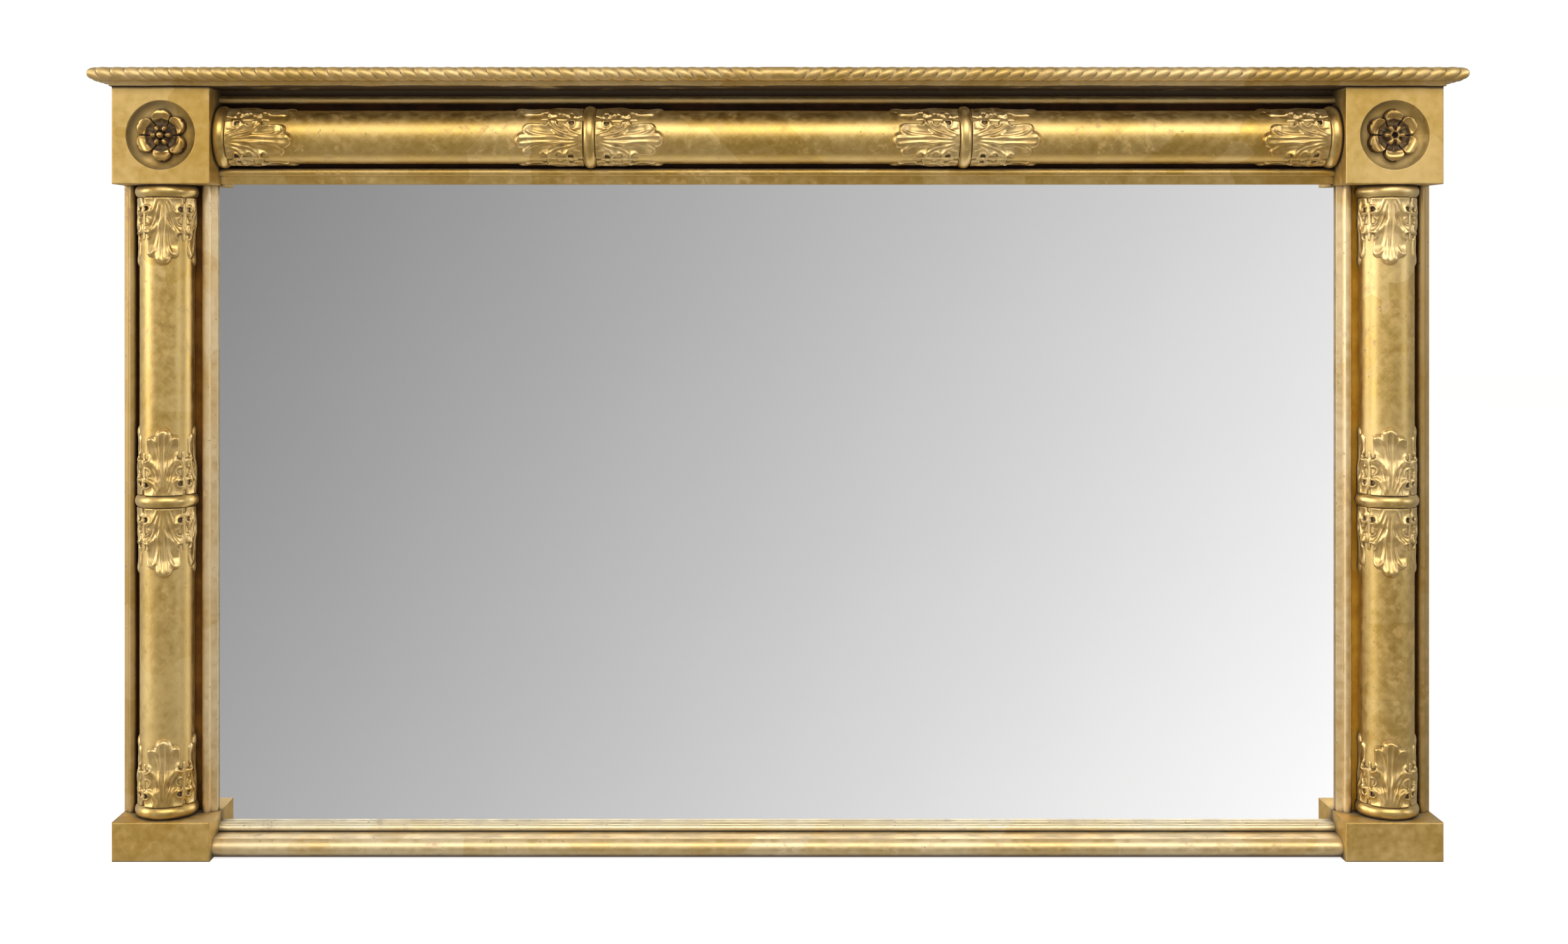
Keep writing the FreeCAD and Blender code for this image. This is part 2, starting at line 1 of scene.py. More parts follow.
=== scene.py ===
# %% [markdown]
# # A gilded overmantel mirror
# An overmantel is a wide mirror that stands on a mantelshelf. This one has a
# pine carcass, turned columns, cast leaves and rosettes, and gold leaf over
# all of it. The CAD model is loaded first as a fixed frame. The lesson then
# dresses it: carved ornament in place of the plain CAD collars, and a finish
# for every surface.

# %% Load the frame
import math

import bmesh
import bpy
import numpy as np
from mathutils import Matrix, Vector


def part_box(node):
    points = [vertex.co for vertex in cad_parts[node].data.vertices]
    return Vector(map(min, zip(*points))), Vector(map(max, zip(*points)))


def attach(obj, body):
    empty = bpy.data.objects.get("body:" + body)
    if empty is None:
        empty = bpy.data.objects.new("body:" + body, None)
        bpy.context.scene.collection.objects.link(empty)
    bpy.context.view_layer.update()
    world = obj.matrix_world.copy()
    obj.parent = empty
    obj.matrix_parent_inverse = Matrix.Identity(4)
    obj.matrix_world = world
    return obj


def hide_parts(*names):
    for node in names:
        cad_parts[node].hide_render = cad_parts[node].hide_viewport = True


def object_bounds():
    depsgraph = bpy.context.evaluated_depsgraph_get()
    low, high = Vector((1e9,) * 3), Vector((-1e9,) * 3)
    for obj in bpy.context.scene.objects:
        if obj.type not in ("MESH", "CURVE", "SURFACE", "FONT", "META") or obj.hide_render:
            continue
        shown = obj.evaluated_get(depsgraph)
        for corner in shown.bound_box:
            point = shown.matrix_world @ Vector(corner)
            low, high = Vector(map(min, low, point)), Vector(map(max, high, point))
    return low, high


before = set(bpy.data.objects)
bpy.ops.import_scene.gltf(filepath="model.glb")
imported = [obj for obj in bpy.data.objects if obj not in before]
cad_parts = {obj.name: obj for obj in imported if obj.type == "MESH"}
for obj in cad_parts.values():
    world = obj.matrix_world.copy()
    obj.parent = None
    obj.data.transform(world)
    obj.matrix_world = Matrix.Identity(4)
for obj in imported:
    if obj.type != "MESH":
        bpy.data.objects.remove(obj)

cad_box = [list(corner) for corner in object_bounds()]
MM = 0.001
scene = bpy.context.scene
print("pieces in the frame:", len(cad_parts))
print("overall size, mm:", [round((b - a) / MM, 1) for a, b in zip(*cad_box)])

# %% [markdown]
# ## Measure the columns
# Leaves and lattice are wrapped round the columns, so the axis and the radius
# of each column are needed. They are read from the boxes of the turned rings,
# which are as wide as they are high and so have the axis at their middle. If
# the CAD changes, these values follow.

# %% Column axes
ring_low, ring_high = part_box("right_middle_ring")
RING_RADIUS = (ring_high.x - ring_low.x) / 2
COLUMN_X = (ring_high.x + ring_low.x) / 2
COLUMN_Y = ring_low.y + RING_RADIUS
COLUMN_RADIUS = COLUMN_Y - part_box("right_column")[0].y
frieze_low, frieze_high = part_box("frieze_right_ring")
FRIEZE_Z = (frieze_low.z + frieze_high.z) / 2
print("column radius, mm:", round(COLUMN_RADIUS / MM, 2))
print("column axis x and y, mm:", round(COLUMN_X / MM, 1), round(COLUMN_Y / MM, 1))
print("frieze axis height, mm:", round(FRIEZE_Z / MM, 1))

# %% [markdown]
# ## Camera
# The photographer stood a little left of the middle with the camera level, so
# upright edges stay upright. A tilted camera would make them lean. Instead the
# camera looks straight ahead and its lens is shifted, as on a view camera.
# The principal point is where the lens axis meets the picture.

# %% Camera
PICTURE_WIDTH, PICTURE_HEIGHT = 2465, 1484
FOCAL_PIXELS = 3140
PRINCIPAL_X, PRINCIPAL_Y = 1165, 425
SENSOR_WIDTH = 36.0
EYE = Vector((-36.6, -2031.0, 592.5)) * MM

lens = bpy.data.cameras.new("view_camera")
lens.sensor_width = SENSOR_WIDTH
lens.lens = FOCAL_PIXELS / PICTURE_WIDTH * SENSOR_WIDTH
lens.shift_x = (PICTURE_WIDTH / 2 - PRINCIPAL_X) / PICTURE_WIDTH
lens.shift_y = (PRINCIPAL_Y - PICTURE_HEIGHT / 2) / PICTURE_WIDTH
camera = bpy.data.objects.new("view_camera", lens)
camera.location = EYE
camera.rotation_euler = (math.pi / 2, 0, 0)
scene.collection.objects.link(camera)
scene.camera = camera
print("lens, mm:", round(lens.lens, 2), "shift:", round(lens.shift_x, 4), round(lens.shift_y, 4))

# %% [markdown]
# ## Small helpers for shader nodes
# A material is a graph of nodes. These helpers place one node each and wire
# it, so that the graphs below read like short formulas. They draw on one graph
# at a time, the one that was opened last. A value may be a number, a colour of
# three parts, a vector, or the output of another node.

# %% Node helpers
graph = None


def draw_on(tree):
    global graph
    graph = tree
    return tree


def settled(value):
    return (*value, 1.0) if isinstance(value, tuple) else value


def wire(socket, value):
    if isinstance(value, bpy.types.NodeSocket):
        graph.links.new(value, socket)
    else:
        socket.default_value = settled(value)


def feed(node, **values):
    for name, value in values.items():
        wire(node.inputs[name.replace("_", " ")], value)


def feed_in_order(node, *values):
    for socket, value in zip(node.inputs, values):
        wire(socket, value)
    return node.outputs


def place(kind, settings=None, **values):
    node = graph.nodes.new("ShaderNode" + kind)
    for name, setting in (settings or {}).items():
        setattr(node, name, setting)
    feed(node, **values)
    return node


print("nodes can be placed and fed")


# %% Sums, ramps and mixes
def calc(operation, *values, clamp=False):
    node = place("Math", {"operation": operation, "use_clamp": clamp})
    return feed_in_order(node, *values)[0]


def times(first, second, clamp=False):
    return calc("MULTIPLY", first, second, clamp=clamp)


def remap(value, start, end, low=0.0, high=1.0):
    node = place("MapRange", {"interpolation_type": "SMOOTHSTEP"})
    return feed_in_order(node, value, start, end, low, high)[0]


def vector_calc(operation, first, second):
    return feed_in_order(place("VectorMath", {"operation": operation}), first, second)


def mix_colour(amount, first, second, mode="MIX"):
    node = place("Mix", {"data_type": "RGBA", "blend_type": mode})
    for number, value in ((0, amount), (6, first), (7, second)):
        wire(node.inputs[number], value)
    return node.outputs[2]


def mix_value(amount, first, second):
    node = place("Mix", {"data_type": "FLOAT"})
    for number, value in ((0, amount), (2, first), (3, second)):
        wire(node.inputs[number], value)
    return node.outputs[0]


def noise(where, scale, detail=3.0, roughness=0.55):
    return place("TexNoise", Vector=where, Scale=scale, Detail=detail, Roughness=roughness).outputs[0]


def object_place():
    return place("TexCoord").outputs["Object"]


def xyz(vector):
    return place("SeparateXYZ", Vector=vector).outputs


print("formulas can be drawn as nodes")

# %% [markdown]
# ## Shared effects as node groups
# Gold leaf, grime with painted shade, rubbed edges and wood grain come back in
# many finishes, so each is a node group: built once, then placed in a material
# with its own values. A group puts out colours, masks and heights. The shader
# itself stays in the material.

# %% Start a node group
SOCKET_KINDS = {float: "NodeSocketFloat", tuple: "NodeSocketColor", Vector: "NodeSocketVector"}


def start_effect(name, inputs, outputs):
    tree = draw_on(bpy.data.node_groups.new(name, "ShaderNodeTree"))
    for label, start in inputs.items():
        socket = tree.interface.new_socket(label, in_out="INPUT", socket_type=SOCKET_KINDS[type(start)])
        socket.default_value = settled(start)
    for label, kind in outputs.items():
        tree.interface.new_socket(label, in_out="OUTPUT", socket_type=SOCKET_KINDS[kind])
    return tree, tree.nodes.new("NodeGroupInput").outputs, tree.nodes.new("NodeGroupOutput")


def use_effect(effect, **values):
    return place("Group", {"node_tree": effect}, **values).outputs


print("an effect may take and give", len(SOCKET_KINDS), "kinds of value")

# %% [markdown]
# ### Gold leaf
# Gold is laid in thin squares over red clay, called bole, on white gesso. No
# two squares take the light quite alike, and rubbing lets the bole through in
# spots. Voronoi cells with the Chebychev distance are squarish, so they stand
# for the leaves of gold. Noise at three sizes gives the clouding, the mottle and
# the grain, and small ragged cells are the dark specks.

# %% Gold leaf group
LEAF_SQUARES, CLOUDS, MOTTLES, GRAINS = 14.0, 9.0, 120.0, 900.0
RUBBED_SPOTS, RUBBED_AREAS = 60.0, 7.0
SPECK_CELLS, SPECK_RAGGED, SPECK_SHIFT = 230.0, 700.0, 4 * MM
SPECK_COLOUR = (0.035, 0.028, 0.008)
gold_leaf, given, result = start_effect(
    "gold_leaf",
    {"Bright": (0.9, 0.6, 0.25), "Deep": (0.7, 0.4, 0.1), "Bole": (0.2, 0.06, 0.02),
     "Rubbing": 0.3, "Specks": 0.3, "Smooth": 0.38, "Matt": 0.55},
    {"Colour": tuple, "Roughness": float, "Metallic": float, "Relief": float},
)
spot = object_place()
squares = place("TexVoronoi", {"distance": "CHEBYCHEV"}, Vector=spot, Scale=LEAF_SQUARES)
leaf_tone = place("SeparateColor", Color=squares.outputs["Color"]).outputs[0]
clouding = noise(spot, CLOUDS, 4.0)
mottle = noise(spot, MOTTLES, 5.0, 0.6)
grain = noise(spot, GRAINS, 2.0)
tone = calc("MULTIPLY_ADD", leaf_tone, 0.22, calc("MULTIPLY_ADD", mottle, 0.55, -0.05))
tone = calc("MULTIPLY_ADD", clouding, 0.75, calc("SUBTRACT", tone, 0.25))
gold = mix_colour(remap(tone, 0.15, 0.75), given["Deep"], given["Bright"])
print("leaf squares, mm:", round(1 / LEAF_SQUARES / MM))

# %% Rubbing and specks
rub_field = times(remap(noise(spot, RUBBED_SPOTS, 6.0, 0.7), 0.52, 0.72),
                  remap(noise(spot, RUBBED_AREAS, 2.0), 0.42, 0.62))
rubbed = times(rub_field, given["Rubbing"], clamp=True)
shift = place("TexNoise", Vector=spot, Scale=SPECK_RAGGED).outputs["Color"]
shift = vector_calc("MULTIPLY", shift, Vector((SPECK_SHIFT,) * 3))["Vector"]
ragged_spot = vector_calc("ADD", spot, shift)["Vector"]
speck_cells = place("TexVoronoi", Vector=ragged_spot, Scale=SPECK_CELLS)
speck_pick = place("SeparateColor", Color=speck_cells.outputs["Color"]).outputs[1]
speck_size = remap(speck_pick, 0.88, 1.0, 0.0, 0.3)
speck = calc("LESS_THAN", speck_cells.outputs["Distance"], speck_size)
speck = times(speck, given["Specks"], clamp=True)
print("speck cells, mm:", round(1 / SPECK_CELLS / MM, 1))

# %% Put the gold leaf together
worn = mix_colour(rubbed, gold, given["Bole"])
rough = remap(calc("ADD", mottle, times(clouding, 0.4)), 0.4, 0.95)
span = calc("SUBTRACT", given["Matt"], given["Smooth"])
rough = calc("MULTIPLY_ADD", rough, span, given["Smooth"])
lost = calc("MAXIMUM", times(rubbed, 0.8), speck)
relief = calc("MULTIPLY_ADD", mottle, 0.7, times(grain, 0.3))
feed(result, Colour=mix_colour(speck, worn, SPECK_COLOUR),
     Roughness=calc("MULTIPLY_ADD", rubbed, 0.2, rough, clamp=True),
     Metallic=calc("SUBTRACT", 1.0, lost, clamp=True),
     Relief=calc("MULTIPLY_ADD", rubbed, -0.4, relief))
print("gold_leaf has", len(gold_leaf.nodes), "nodes")

# %% [markdown]
# ### Grime and painted shade in the hollows
# Two centuries of dust settle where a cloth can't reach, and hollows also lie in
# shade; this mask paints both with one dark colour. The ambient occlusion node
# asks how much of the sky a point can see. Noise breaks up the edge of the dark.

# %% Hollow grime and painted shade group
DIRT_SHADE_RAGGED, DIRT_SHADE_SHIFT = 85.0, 0.25
hollow_grime_and_shade, given, result = start_effect(
    "hollow_grime_and_shade", {"Reach": 0.012, "Start": 0.85, "Full": 0.3}, {"Mask": float})
shade = place("AmbientOcclusion", {"samples": 12}, Distance=given["Reach"]).outputs["AO"]
ragged = calc("SUBTRACT", noise(object_place(), DIRT_SHADE_RAGGED, 4.0), 0.5)
open_sky = calc("MULTIPLY_ADD", ragged, DIRT_SHADE_SHIFT, shade)
feed(result, Mask=remap(open_sky, given["Start"], given["Full"]))
print("hollow_grime_and_shade has", len(hollow_grime_and_shade.nodes), "nodes")

# %% [markdown]
# ### Rubbed edges
# Corners are rounded by handling and lose their gold first. The bevel node
# gives the normal as it would be on a rounded edge. Where that differs from
# the true normal there is an edge, and that difference is the wear mask.

# %% Rubbed edge group
HANDLED_SPOTS = 45.0
FLAT_FACING, EDGE_FACING = 0.995, 0.86
rubbed_edge, given, result = start_effect("rubbed_edge", {"Width": 0.0012}, {"Mask": float, "Normal": Vector})
soft = place("Bevel", {"samples": 4}, Radius=given["Width"]).outputs["Normal"]
true_normal = place("NewGeometry").outputs["Normal"]
facing = vector_calc("DOT_PRODUCT", soft, true_normal)["Value"]
handled = remap(noise(object_place(), HANDLED_SPOTS, 5.0, 0.65), 0.4, 0.7)
edge = remap(facing, FLAT_FACING, EDGE_FACING)
feed(result, Mask=times(edge, handled), Normal=soft)
print("rubbed_edge has", len(rubbed_edge.nodes), "nodes")

# %% [markdown]
# ### Incised lattice
# The columns have fine crossed lines cut into the gesso before gilding, so the
# gold twinkles in small diamonds; the gilding paints the lines towards its
# bright gold, a painted sheen. Two families of lines, one leaning each way, are
# drawn from the distance round the column and the distance along it.

# %% Lattice group
LINE_HALF = 0.07
lattice, given, result = start_effect(
    "incised_lattice", {"Around": 0.0, "Along": 0.0, "Pitch": 0.0125}, {"Line": float})
lines = []
for lean in ("ADD", "SUBTRACT"):
    across = calc("DIVIDE", calc(lean, given["Around"], given["Along"]), given["Pitch"])
    from_line = calc("ABSOLUTE", calc("SUBTRACT", calc("FRACT", across), 0.5))
    lines.append(remap(from_line, LINE_HALF, 0.0))
feed(result, Line=calc("MAXIMUM", *lines))
print("incised_lattice has", len(lattice.nodes), "nodes")

# %% [markdown]
# ### Pine grain
# Pine shows growth rings cut lengthways: long stripes, pale and brown, with
# fine streaks between. Noise is stretched along the board by shrinking that
# direction of the coordinates, and bent through a sine into stripes.

# %% Pine grain group
WANDER, STRIPES, STREAKS, BLOTCHES = 5.0, 95.0, 210.0, 6.0
BLOTCH_AMOUNT = 0.55
pine_grain, given, result = start_effect(
    "pine_grain",
    {"Stretch": Vector((1.0, 1.0, 1.0)), "Pale": (0.5, 0.3, 0.14), "Brown": (0.22, 0.1, 0.035),
     "Stain": (0.06, 0.035, 0.018)},
    {"Colour": tuple, "Roughness": float, "Relief": float},
)
spot = object_place()
along_board = vector_calc("MULTIPLY", spot, given["Stretch"])["Vector"]
stripes = calc("SINE", times(noise(along_board, WANDER, 3.0), STRIPES))
streaks = noise(along_board, STREAKS, 4.0, 0.65)
ring_tone = calc("MULTIPLY_ADD", stripes, 0.3, times(streaks, 0.9))
board = mix_colour(remap(ring_tone, 0.1, 0.8), given["Brown"], given["Pale"])
blotch = remap(noise(spot, BLOTCHES, 5.0, 0.6), 0.5, 0.75)
feed(result, Colour=mix_colour(times(blotch, BLOTCH_AMOUNT), board, given["Stain"]),
     Roughness=remap(streaks, 0.3, 0.7, 0.6, 0.85),
     Relief=calc("MULTIPLY_ADD", streaks, 0.7, times(stripes, 0.15)))
print("pine_grain has", len(pine_grain.nodes), "nodes")

# %% [markdown]
# ### Tarnish and dust
# Brass and iron darken unevenly, and dust lies on what faces up. Tarnish is
# noise between a clean and a dull colour. Dust takes the upward part of the
# surface normal and breaks it with noise.

# %% Tarnish and dust groups
DUST_DRIFTS = 30.0
tarnish, given, result = start_effect(
    "tarnish", {"Clean": (0.7, 0.5, 0.2), "Dull": (0.15, 0.1, 0.05), "Size": 140.0},
    {"Colour": tuple, "Roughness": float, "Relief": float},
)
bloom = noise(object_place(), given["Size"], 6.0, 0.65)
feed(result, Colour=mix_colour(remap(bloom, 0.35, 0.65), given["Clean"], given["Dull"]),
     Roughness=remap(bloom, 0.35, 0.7, 0.3, 0.7), Relief=bloom)

dust, given, result = start_effect("dust", {"Amount": 0.6}, {"Mask": float})
upward = xyz(place("NewGeometry").outputs["Normal"])["Z"]
drift = noise(object_place(), DUST_DRIFTS, 5.0, 0.6)
lying = times(remap(upward, 0.55, 1.0), remap(drift, 0.3, 0.65))
feed(result, Mask=times(lying, given["Amount"], clamp=True))
print("tarnish and dust are ready")

# %% [markdown]
# ## Gilded finishes
# All gilding is one recipe: gold leaf, then rubbed edges, then grime and painted
# shade in the hollows with bands of painted shade, then a little dust. A
# Principled shader with Metallic near one gives gold its coloured reflections,
# and a thin coat stands for the size and wax on top, which adds a pale sheen.

# %% Colours and amounts of gilding
GOLD_BRIGHT = (0.89, 0.655, 0.27)
GOLD_DEEP = (0.64, 0.405, 0.085)
BOLE = (0.21, 0.075, 0.02)
# near-black colour for grime and for painted shade
GRIME_AND_SHADE = (0.03, 0.011, 0.003)
DUST = (0.42, 0.36, 0.27)
EDGE_WIDTH = 1.2 * MM
LINE_PAINTED_SHEEN, LINE_DEPTH = 0.22, -0.24
DIRT_SHADE_COVER, DIRT_SHADE_ROUGHNESS = 0.9, 0.3
COAT_ROUGHNESS = 0.42
BUMP_STRENGTH = 0.5
GOLD_RELIEF = 0.25 * MM
print("gold from", GOLD_BRIGHT, "to", GOLD_DEEP)


# %% Recipe for gilding
def principled(name):
    material = bpy.data.materials.new(name)
    material.use_nodes = True
    return material, draw_on(material.node_tree).nodes["Principled BSDF"]


def raise_surface(shader, height, strength, depth, normal):
    bump = place("Bump", Height=height, Strength=strength, Distance=depth, Normal=normal)
    feed(shader, Normal=bump.outputs["Normal"])


def gilding(name, bright=GOLD_BRIGHT, deep=GOLD_DEEP, smooth=0.4, matt=0.56, rubbing=0.4, specks=0.3,
            grime_shade_reach=0.012, grime_shade_start=0.8, grime_shade_full=0.25, grime_shade_amount=0.85,
            edge_wear=0.5, dust_amount=0.35, coat=0.3, pattern=None, painted_shade=None):
    material, shader = principled(name)
    leaf = use_effect(gold_leaf, Bright=bright, Deep=deep, Bole=BOLE, Rubbing=rubbing, Specks=specks,
                      Smooth=smooth, Matt=matt)
    edge = use_effect(rubbed_edge, Width=EDGE_WIDTH)
    edge_mask = times(edge["Mask"], edge_wear)
    # grime and painted shade in the hollows, plus any band of painted shade, darken the gold
    dirt_and_shade = use_effect(hollow_grime_and_shade, Reach=grime_shade_reach, Start=grime_shade_start, Full=grime_shade_full)
    dirt_and_shade_mask = times(dirt_and_shade["Mask"], grime_shade_amount)
    if painted_shade is not None:
        dirt_and_shade_mask = calc("MAXIMUM", dirt_and_shade_mask, painted_shade())
    dust_mask = use_effect(dust, Amount=dust_amount)["Mask"]
    colour, height = leaf["Colour"], leaf["Relief"]
    if pattern is not None:
        # lattice lines painted towards the bright gold: a painted sheen
        line = pattern()
        colour = mix_colour(times(line, LINE_PAINTED_SHEEN), colour, bright)
        height = calc("MULTIPLY_ADD", line, LINE_DEPTH, height)
    for mask, cover in ((edge_mask, BOLE), (dirt_and_shade_mask, GRIME_AND_SHADE), (dust_mask, DUST)):
        colour = mix_colour(mask, colour, cover)
    covered = calc("MAXIMUM", times(dirt_and_shade_mask, DIRT_SHADE_COVER), dust_mask)
    bare = calc("SUBTRACT", 1.0, calc("MAXIMUM", covered, edge_mask), clamp=True)
    feed(shader, Base_Color=colour, Metallic=times(leaf["Metallic"], bare),
         Roughness=calc("MULTIPLY_ADD", covered, DIRT_SHADE_ROUGHNESS, leaf["Roughness"], clamp=True),
         Coat_Weight=times(bare, coat), Coat_Roughness=COAT_ROUGHNESS)
    raise_surface(shader, height, BUMP_STRENGTH, GOLD_RELIEF, edge["Normal"])
    return material


print("the gilder's recipe is ready")

# %% [markdown]
# ### Lattice on the columns
# Upright columns run along Z and the frieze column along X. The distance round
# a column is its angle times its radius, and the angle comes from the arctangent
# of the offset from the axis. The two uprights mirror each other, so the
# absolute value of X serves both.

# %% Column lattice
def lattice_on(along_axis, side_axis, side_centre, mirrored):
    def draw():
        part = xyz(object_place())
        side = calc("ABSOLUTE", part[side_axis]) if mirrored else part[side_axis]
        offset = calc("SUBTRACT", side, side_centre)
        forward = calc("SUBTRACT", COLUMN_Y, part["Y"])
        around = times(calc("ARCTAN2", offset, forward), COLUMN_RADIUS)
        return use_effect(lattice, Around=around, Along=part[along_axis])["Line"]
    return draw


upright_lattice = lattice_on("Z", "X", COLUMN_X, True)
frieze_lattice = lattice_on("X", "Z", FRIEZE_Z, False)
print("the lattice fits upright and level columns")

# %% [markdown]
# ### Painted shade by place
# Some places are darkened with painted shade: the underside of the cornice, the
# cornice's painted shadow along the top of the blocks, the low side of the
# torus, the cove above the reed, and a painted shadow in the rim of each round
# sinking, heaviest high on the left. Here the place draws the shade, as a band
# of heights with a wavy edge, or as a ring about the middle of the sinking.

# %% Painted shade masks
SHADE_EDGE_WAVES, SHADE_EDGE_WAVE = 25.0, 2.0 * MM
BLOCK_LOW, BLOCK_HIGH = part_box("right_corner_block")
BLOCK_MIDDLE = (BLOCK_LOW + BLOCK_HIGH) / 2
BLOCK_TOP = BLOCK_HIGH.z
ROUNDEL_RADIUS = 34.8 * MM
LEFTWARD, UPWARD = -0.85, 0.5


# a band of painted shade between two heights, with a wavy edge
def painted_shade_band(start, end, amount=0.95):
    def draw():
        spot = object_place()
        wave = noise(spot, SHADE_EDGE_WAVES, 4.0)
        wavy = calc("MULTIPLY_ADD", wave, SHADE_EDGE_WAVE, xyz(spot)["Z"])
        return times(remap(wavy, start + SHADE_EDGE_WAVE / 2, end + SHADE_EDGE_WAVE / 2), amount)
    return draw


def roundel_painted_shadow():
    """Painted shadow in the rim of the round sinking, most of it high on the left."""
    part = xyz(object_place())
    middle = times(calc("SIGN", part["X"]), BLOCK_MIDDLE.x)
    x = calc("SUBTRACT", part["X"], middle)
    z = calc("SUBTRACT", part["Z"], BLOCK_MIDDLE.z)
    reach = calc("SQRT", calc("ADD", calc("POWER", x, 2.0), calc("POWER", z, 2.0)))
    ring = times(remap(reach, 0.7 * ROUNDEL_RADIUS, 0.96 * ROUNDEL_RADIUS),
                 remap(reach, ROUNDEL_RADIUS, 0.985 * ROUNDEL_RADIUS))
    slant = calc("MULTIPLY_ADD", x, LEFTWARD, times(z, UPWARD))
    slant = calc("DIVIDE", slant, ROUNDEL_RADIUS)
    return times(ring, remap(slant, -0.4, 0.9, 0.1, 0.8))


# painted shade on a block: shadow in the sinking's rim and the cornice's shadow on its top
def block_painted_shade():
    return calc("MAXIMUM", roundel_painted_shadow(), painted_shade_band(BLOCK_TOP - 4 * MM, BLOCK_TOP - MM)())


print("round sinkings, mm:", round(2 * ROUNDEL_RADIUS / MM, 1), "across")

# %% [markdown]
# ### The gilt finishes
# The amounts differ from piece to piece: columns and ornament are burnished,
# blocks and cornice are matt, and ornament is dark in its hollows with grime and
# painted shade. The mouldings next to the plate and the torus are paler than the
# rest, a painted highlight; the cove is paler too, painted light on its shaded
# reed. The outer mouldings and the flowers are gilded darker, painted shade. One
# table holds them all, so they can be compared. What isn't stated keeps the
# recipe's own amount.

# %% Gilt finishes
COVE_LOW, COVE_HIGH = (corner.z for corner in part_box("frieze_cove_moulding"))
REED_TOP = COVE_LOW + 0.52 * (COVE_HIGH - COVE_LOW)
CORNICE_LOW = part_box("cornice_board")[0].z
BURNISHED = dict(rubbing=0.45, grime_shade_reach=0.009, grime_shade_start=0.89, grime_shade_full=0.45)
BY_THE_PLATE = dict(smooth=0.38, matt=0.54, specks=0.5, coat=0.8)
CARVED = dict(rubbing=0.3, edge_wear=0.0)
GILT_AMOUNTS = {
    "upright": dict(BURNISHED, smooth=0.34, matt=0.5, specks=0.45, grime_shade_amount=0.9, pattern=upright_lattice),
    "frieze": dict(BURNISHED, smooth=0.36, matt=0.52, specks=0.4, grime_shade_amount=0.75, dust_amount=0.1,
                   pattern=frieze_lattice),
    # block: painted shade in the sinking's rim and under the cornice
    "block": dict(smooth=0.48, matt=0.62, rubbing=0.2, specks=0.15, grime_shade_reach=0.03, grime_shade_start=0.72,
                  grime_shade_amount=0.9, painted_shade=block_painted_shade),
    # cornice: painted shade on its underside
    "cornice": dict(bright=(0.95, 0.74, 0.38), smooth=0.46, matt=0.62, rubbing=0.3,
                    painted_shade=painted_shade_band(CORNICE_LOW + 0.9 * MM, CORNICE_LOW + 0.1 * MM)),
    "moulding": dict(rubbing=0.5, specks=0.5, grime_shade_amount=0.95),
    # pale and cream: gold made paler as a painted highlight
    "pale": dict(BY_THE_PLATE, bright=(0.96, 0.78, 0.48), deep=(0.78, 0.53, 0.2), grime_shade_amount=0.95),
    "cream": dict(BY_THE_PLATE, bright=(1.0, 0.92, 0.68), deep=(0.94, 0.76, 0.42), grime_shade_amount=0.7),
    # torus: paler gold as a painted highlight, painted shade on its low side
    "torus": dict(BY_THE_PLATE, bright=(0.96, 0.8, 0.5), deep=(0.78, 0.54, 0.2), grime_shade_amount=0.95,
                  painted_shade=painted_shade_band(10.0 * MM, 3.0 * MM, 0.8)),
    # outer: gold made darker as painted shade
    "outer": dict(bright=(0.62, 0.44, 0.19), deep=(0.47, 0.295, 0.07), smooth=0.46, matt=0.6,
                  rubbing=0.5, specks=0.5, grime_shade_amount=0.95),
    # cove: paler gold as painted light on the shaded reed, painted shade above it
    "cove": dict(bright=(1.0, 0.86, 0.5), deep=(0.92, 0.68, 0.27), smooth=0.5, matt=0.66, rubbing=0.5,
                 specks=0.5, grime_shade_amount=0.15, edge_wear=0.0, dust_amount=0.0,
                 painted_shade=painted_shade_band(REED_TOP - 0.5 * MM, REED_TOP + 0.5 * MM)),
    "ornament": dict(CARVED, bright=(0.93, 0.7, 0.33), deep=(0.64, 0.405, 0.1), smooth=0.3, matt=0.46,
                     specks=0.2, grime_shade_reach=0.011, grime_shade_start=0.93, grime_shade_full=0.44, grime_shade_amount=0.94, coat=0.4),
    "rope": dict(CARVED, bright=(0.9, 0.67, 0.32), deep=(0.62, 0.4, 0.1), smooth=0.42, matt=0.58,
                 specks=0.2, grime_shade_reach=0.008, grime_shade_start=0.98, grime_shade_full=0.62, grime_shade_amount=0.95),
    # flower: gold made darker as painted shade
    "flower": dict(CARVED, bright=(0.78, 0.53, 0.2), deep=(0.46, 0.26, 0.05), smooth=0.26, matt=0.4,
                   specks=0.1, grime_shade_start=0.94, grime_shade_full=0.46, grime_shade_amount=0.97),
    "ring": dict(smooth=0.3, matt=0.44, rubbing=0.35, grime_shade_amount=0.95, coat=0.7),
}
gilt = {name: gilding(name + "_gilding", **amounts) for name, amounts in GILT_AMOUNTS.items()}
print("gilt finishes:", list(gilt))

# %% [markdown]
# ### Wood finishes
# The carcass shows in the narrow gaps beside the columns and on the outer sides,
# where it was washed with ochre. The right stile's wash is made brighter as
# painted light, and the left stile's darker as painted shade. Above and below
# the frieze column the wash is almost black, painted shade. Its back was left
# bare. The distance from the back face tells the bare wood from the washed.

# %% Carcass, backboards and small wood
CARCASS_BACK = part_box("left_stile")[1].y
WASH_START, WASH_FULL = CARCASS_BACK - 0.8 * MM, CARCASS_BACK - 2.5 * MM
WASH_PATCHES, WASH_GRAIN = 40.0, 0.35
WOOD_EDGE_WEAR, WOOD_RELIEF, WOOD_SHINE = 0.4, 0.4 * MM, 0.15
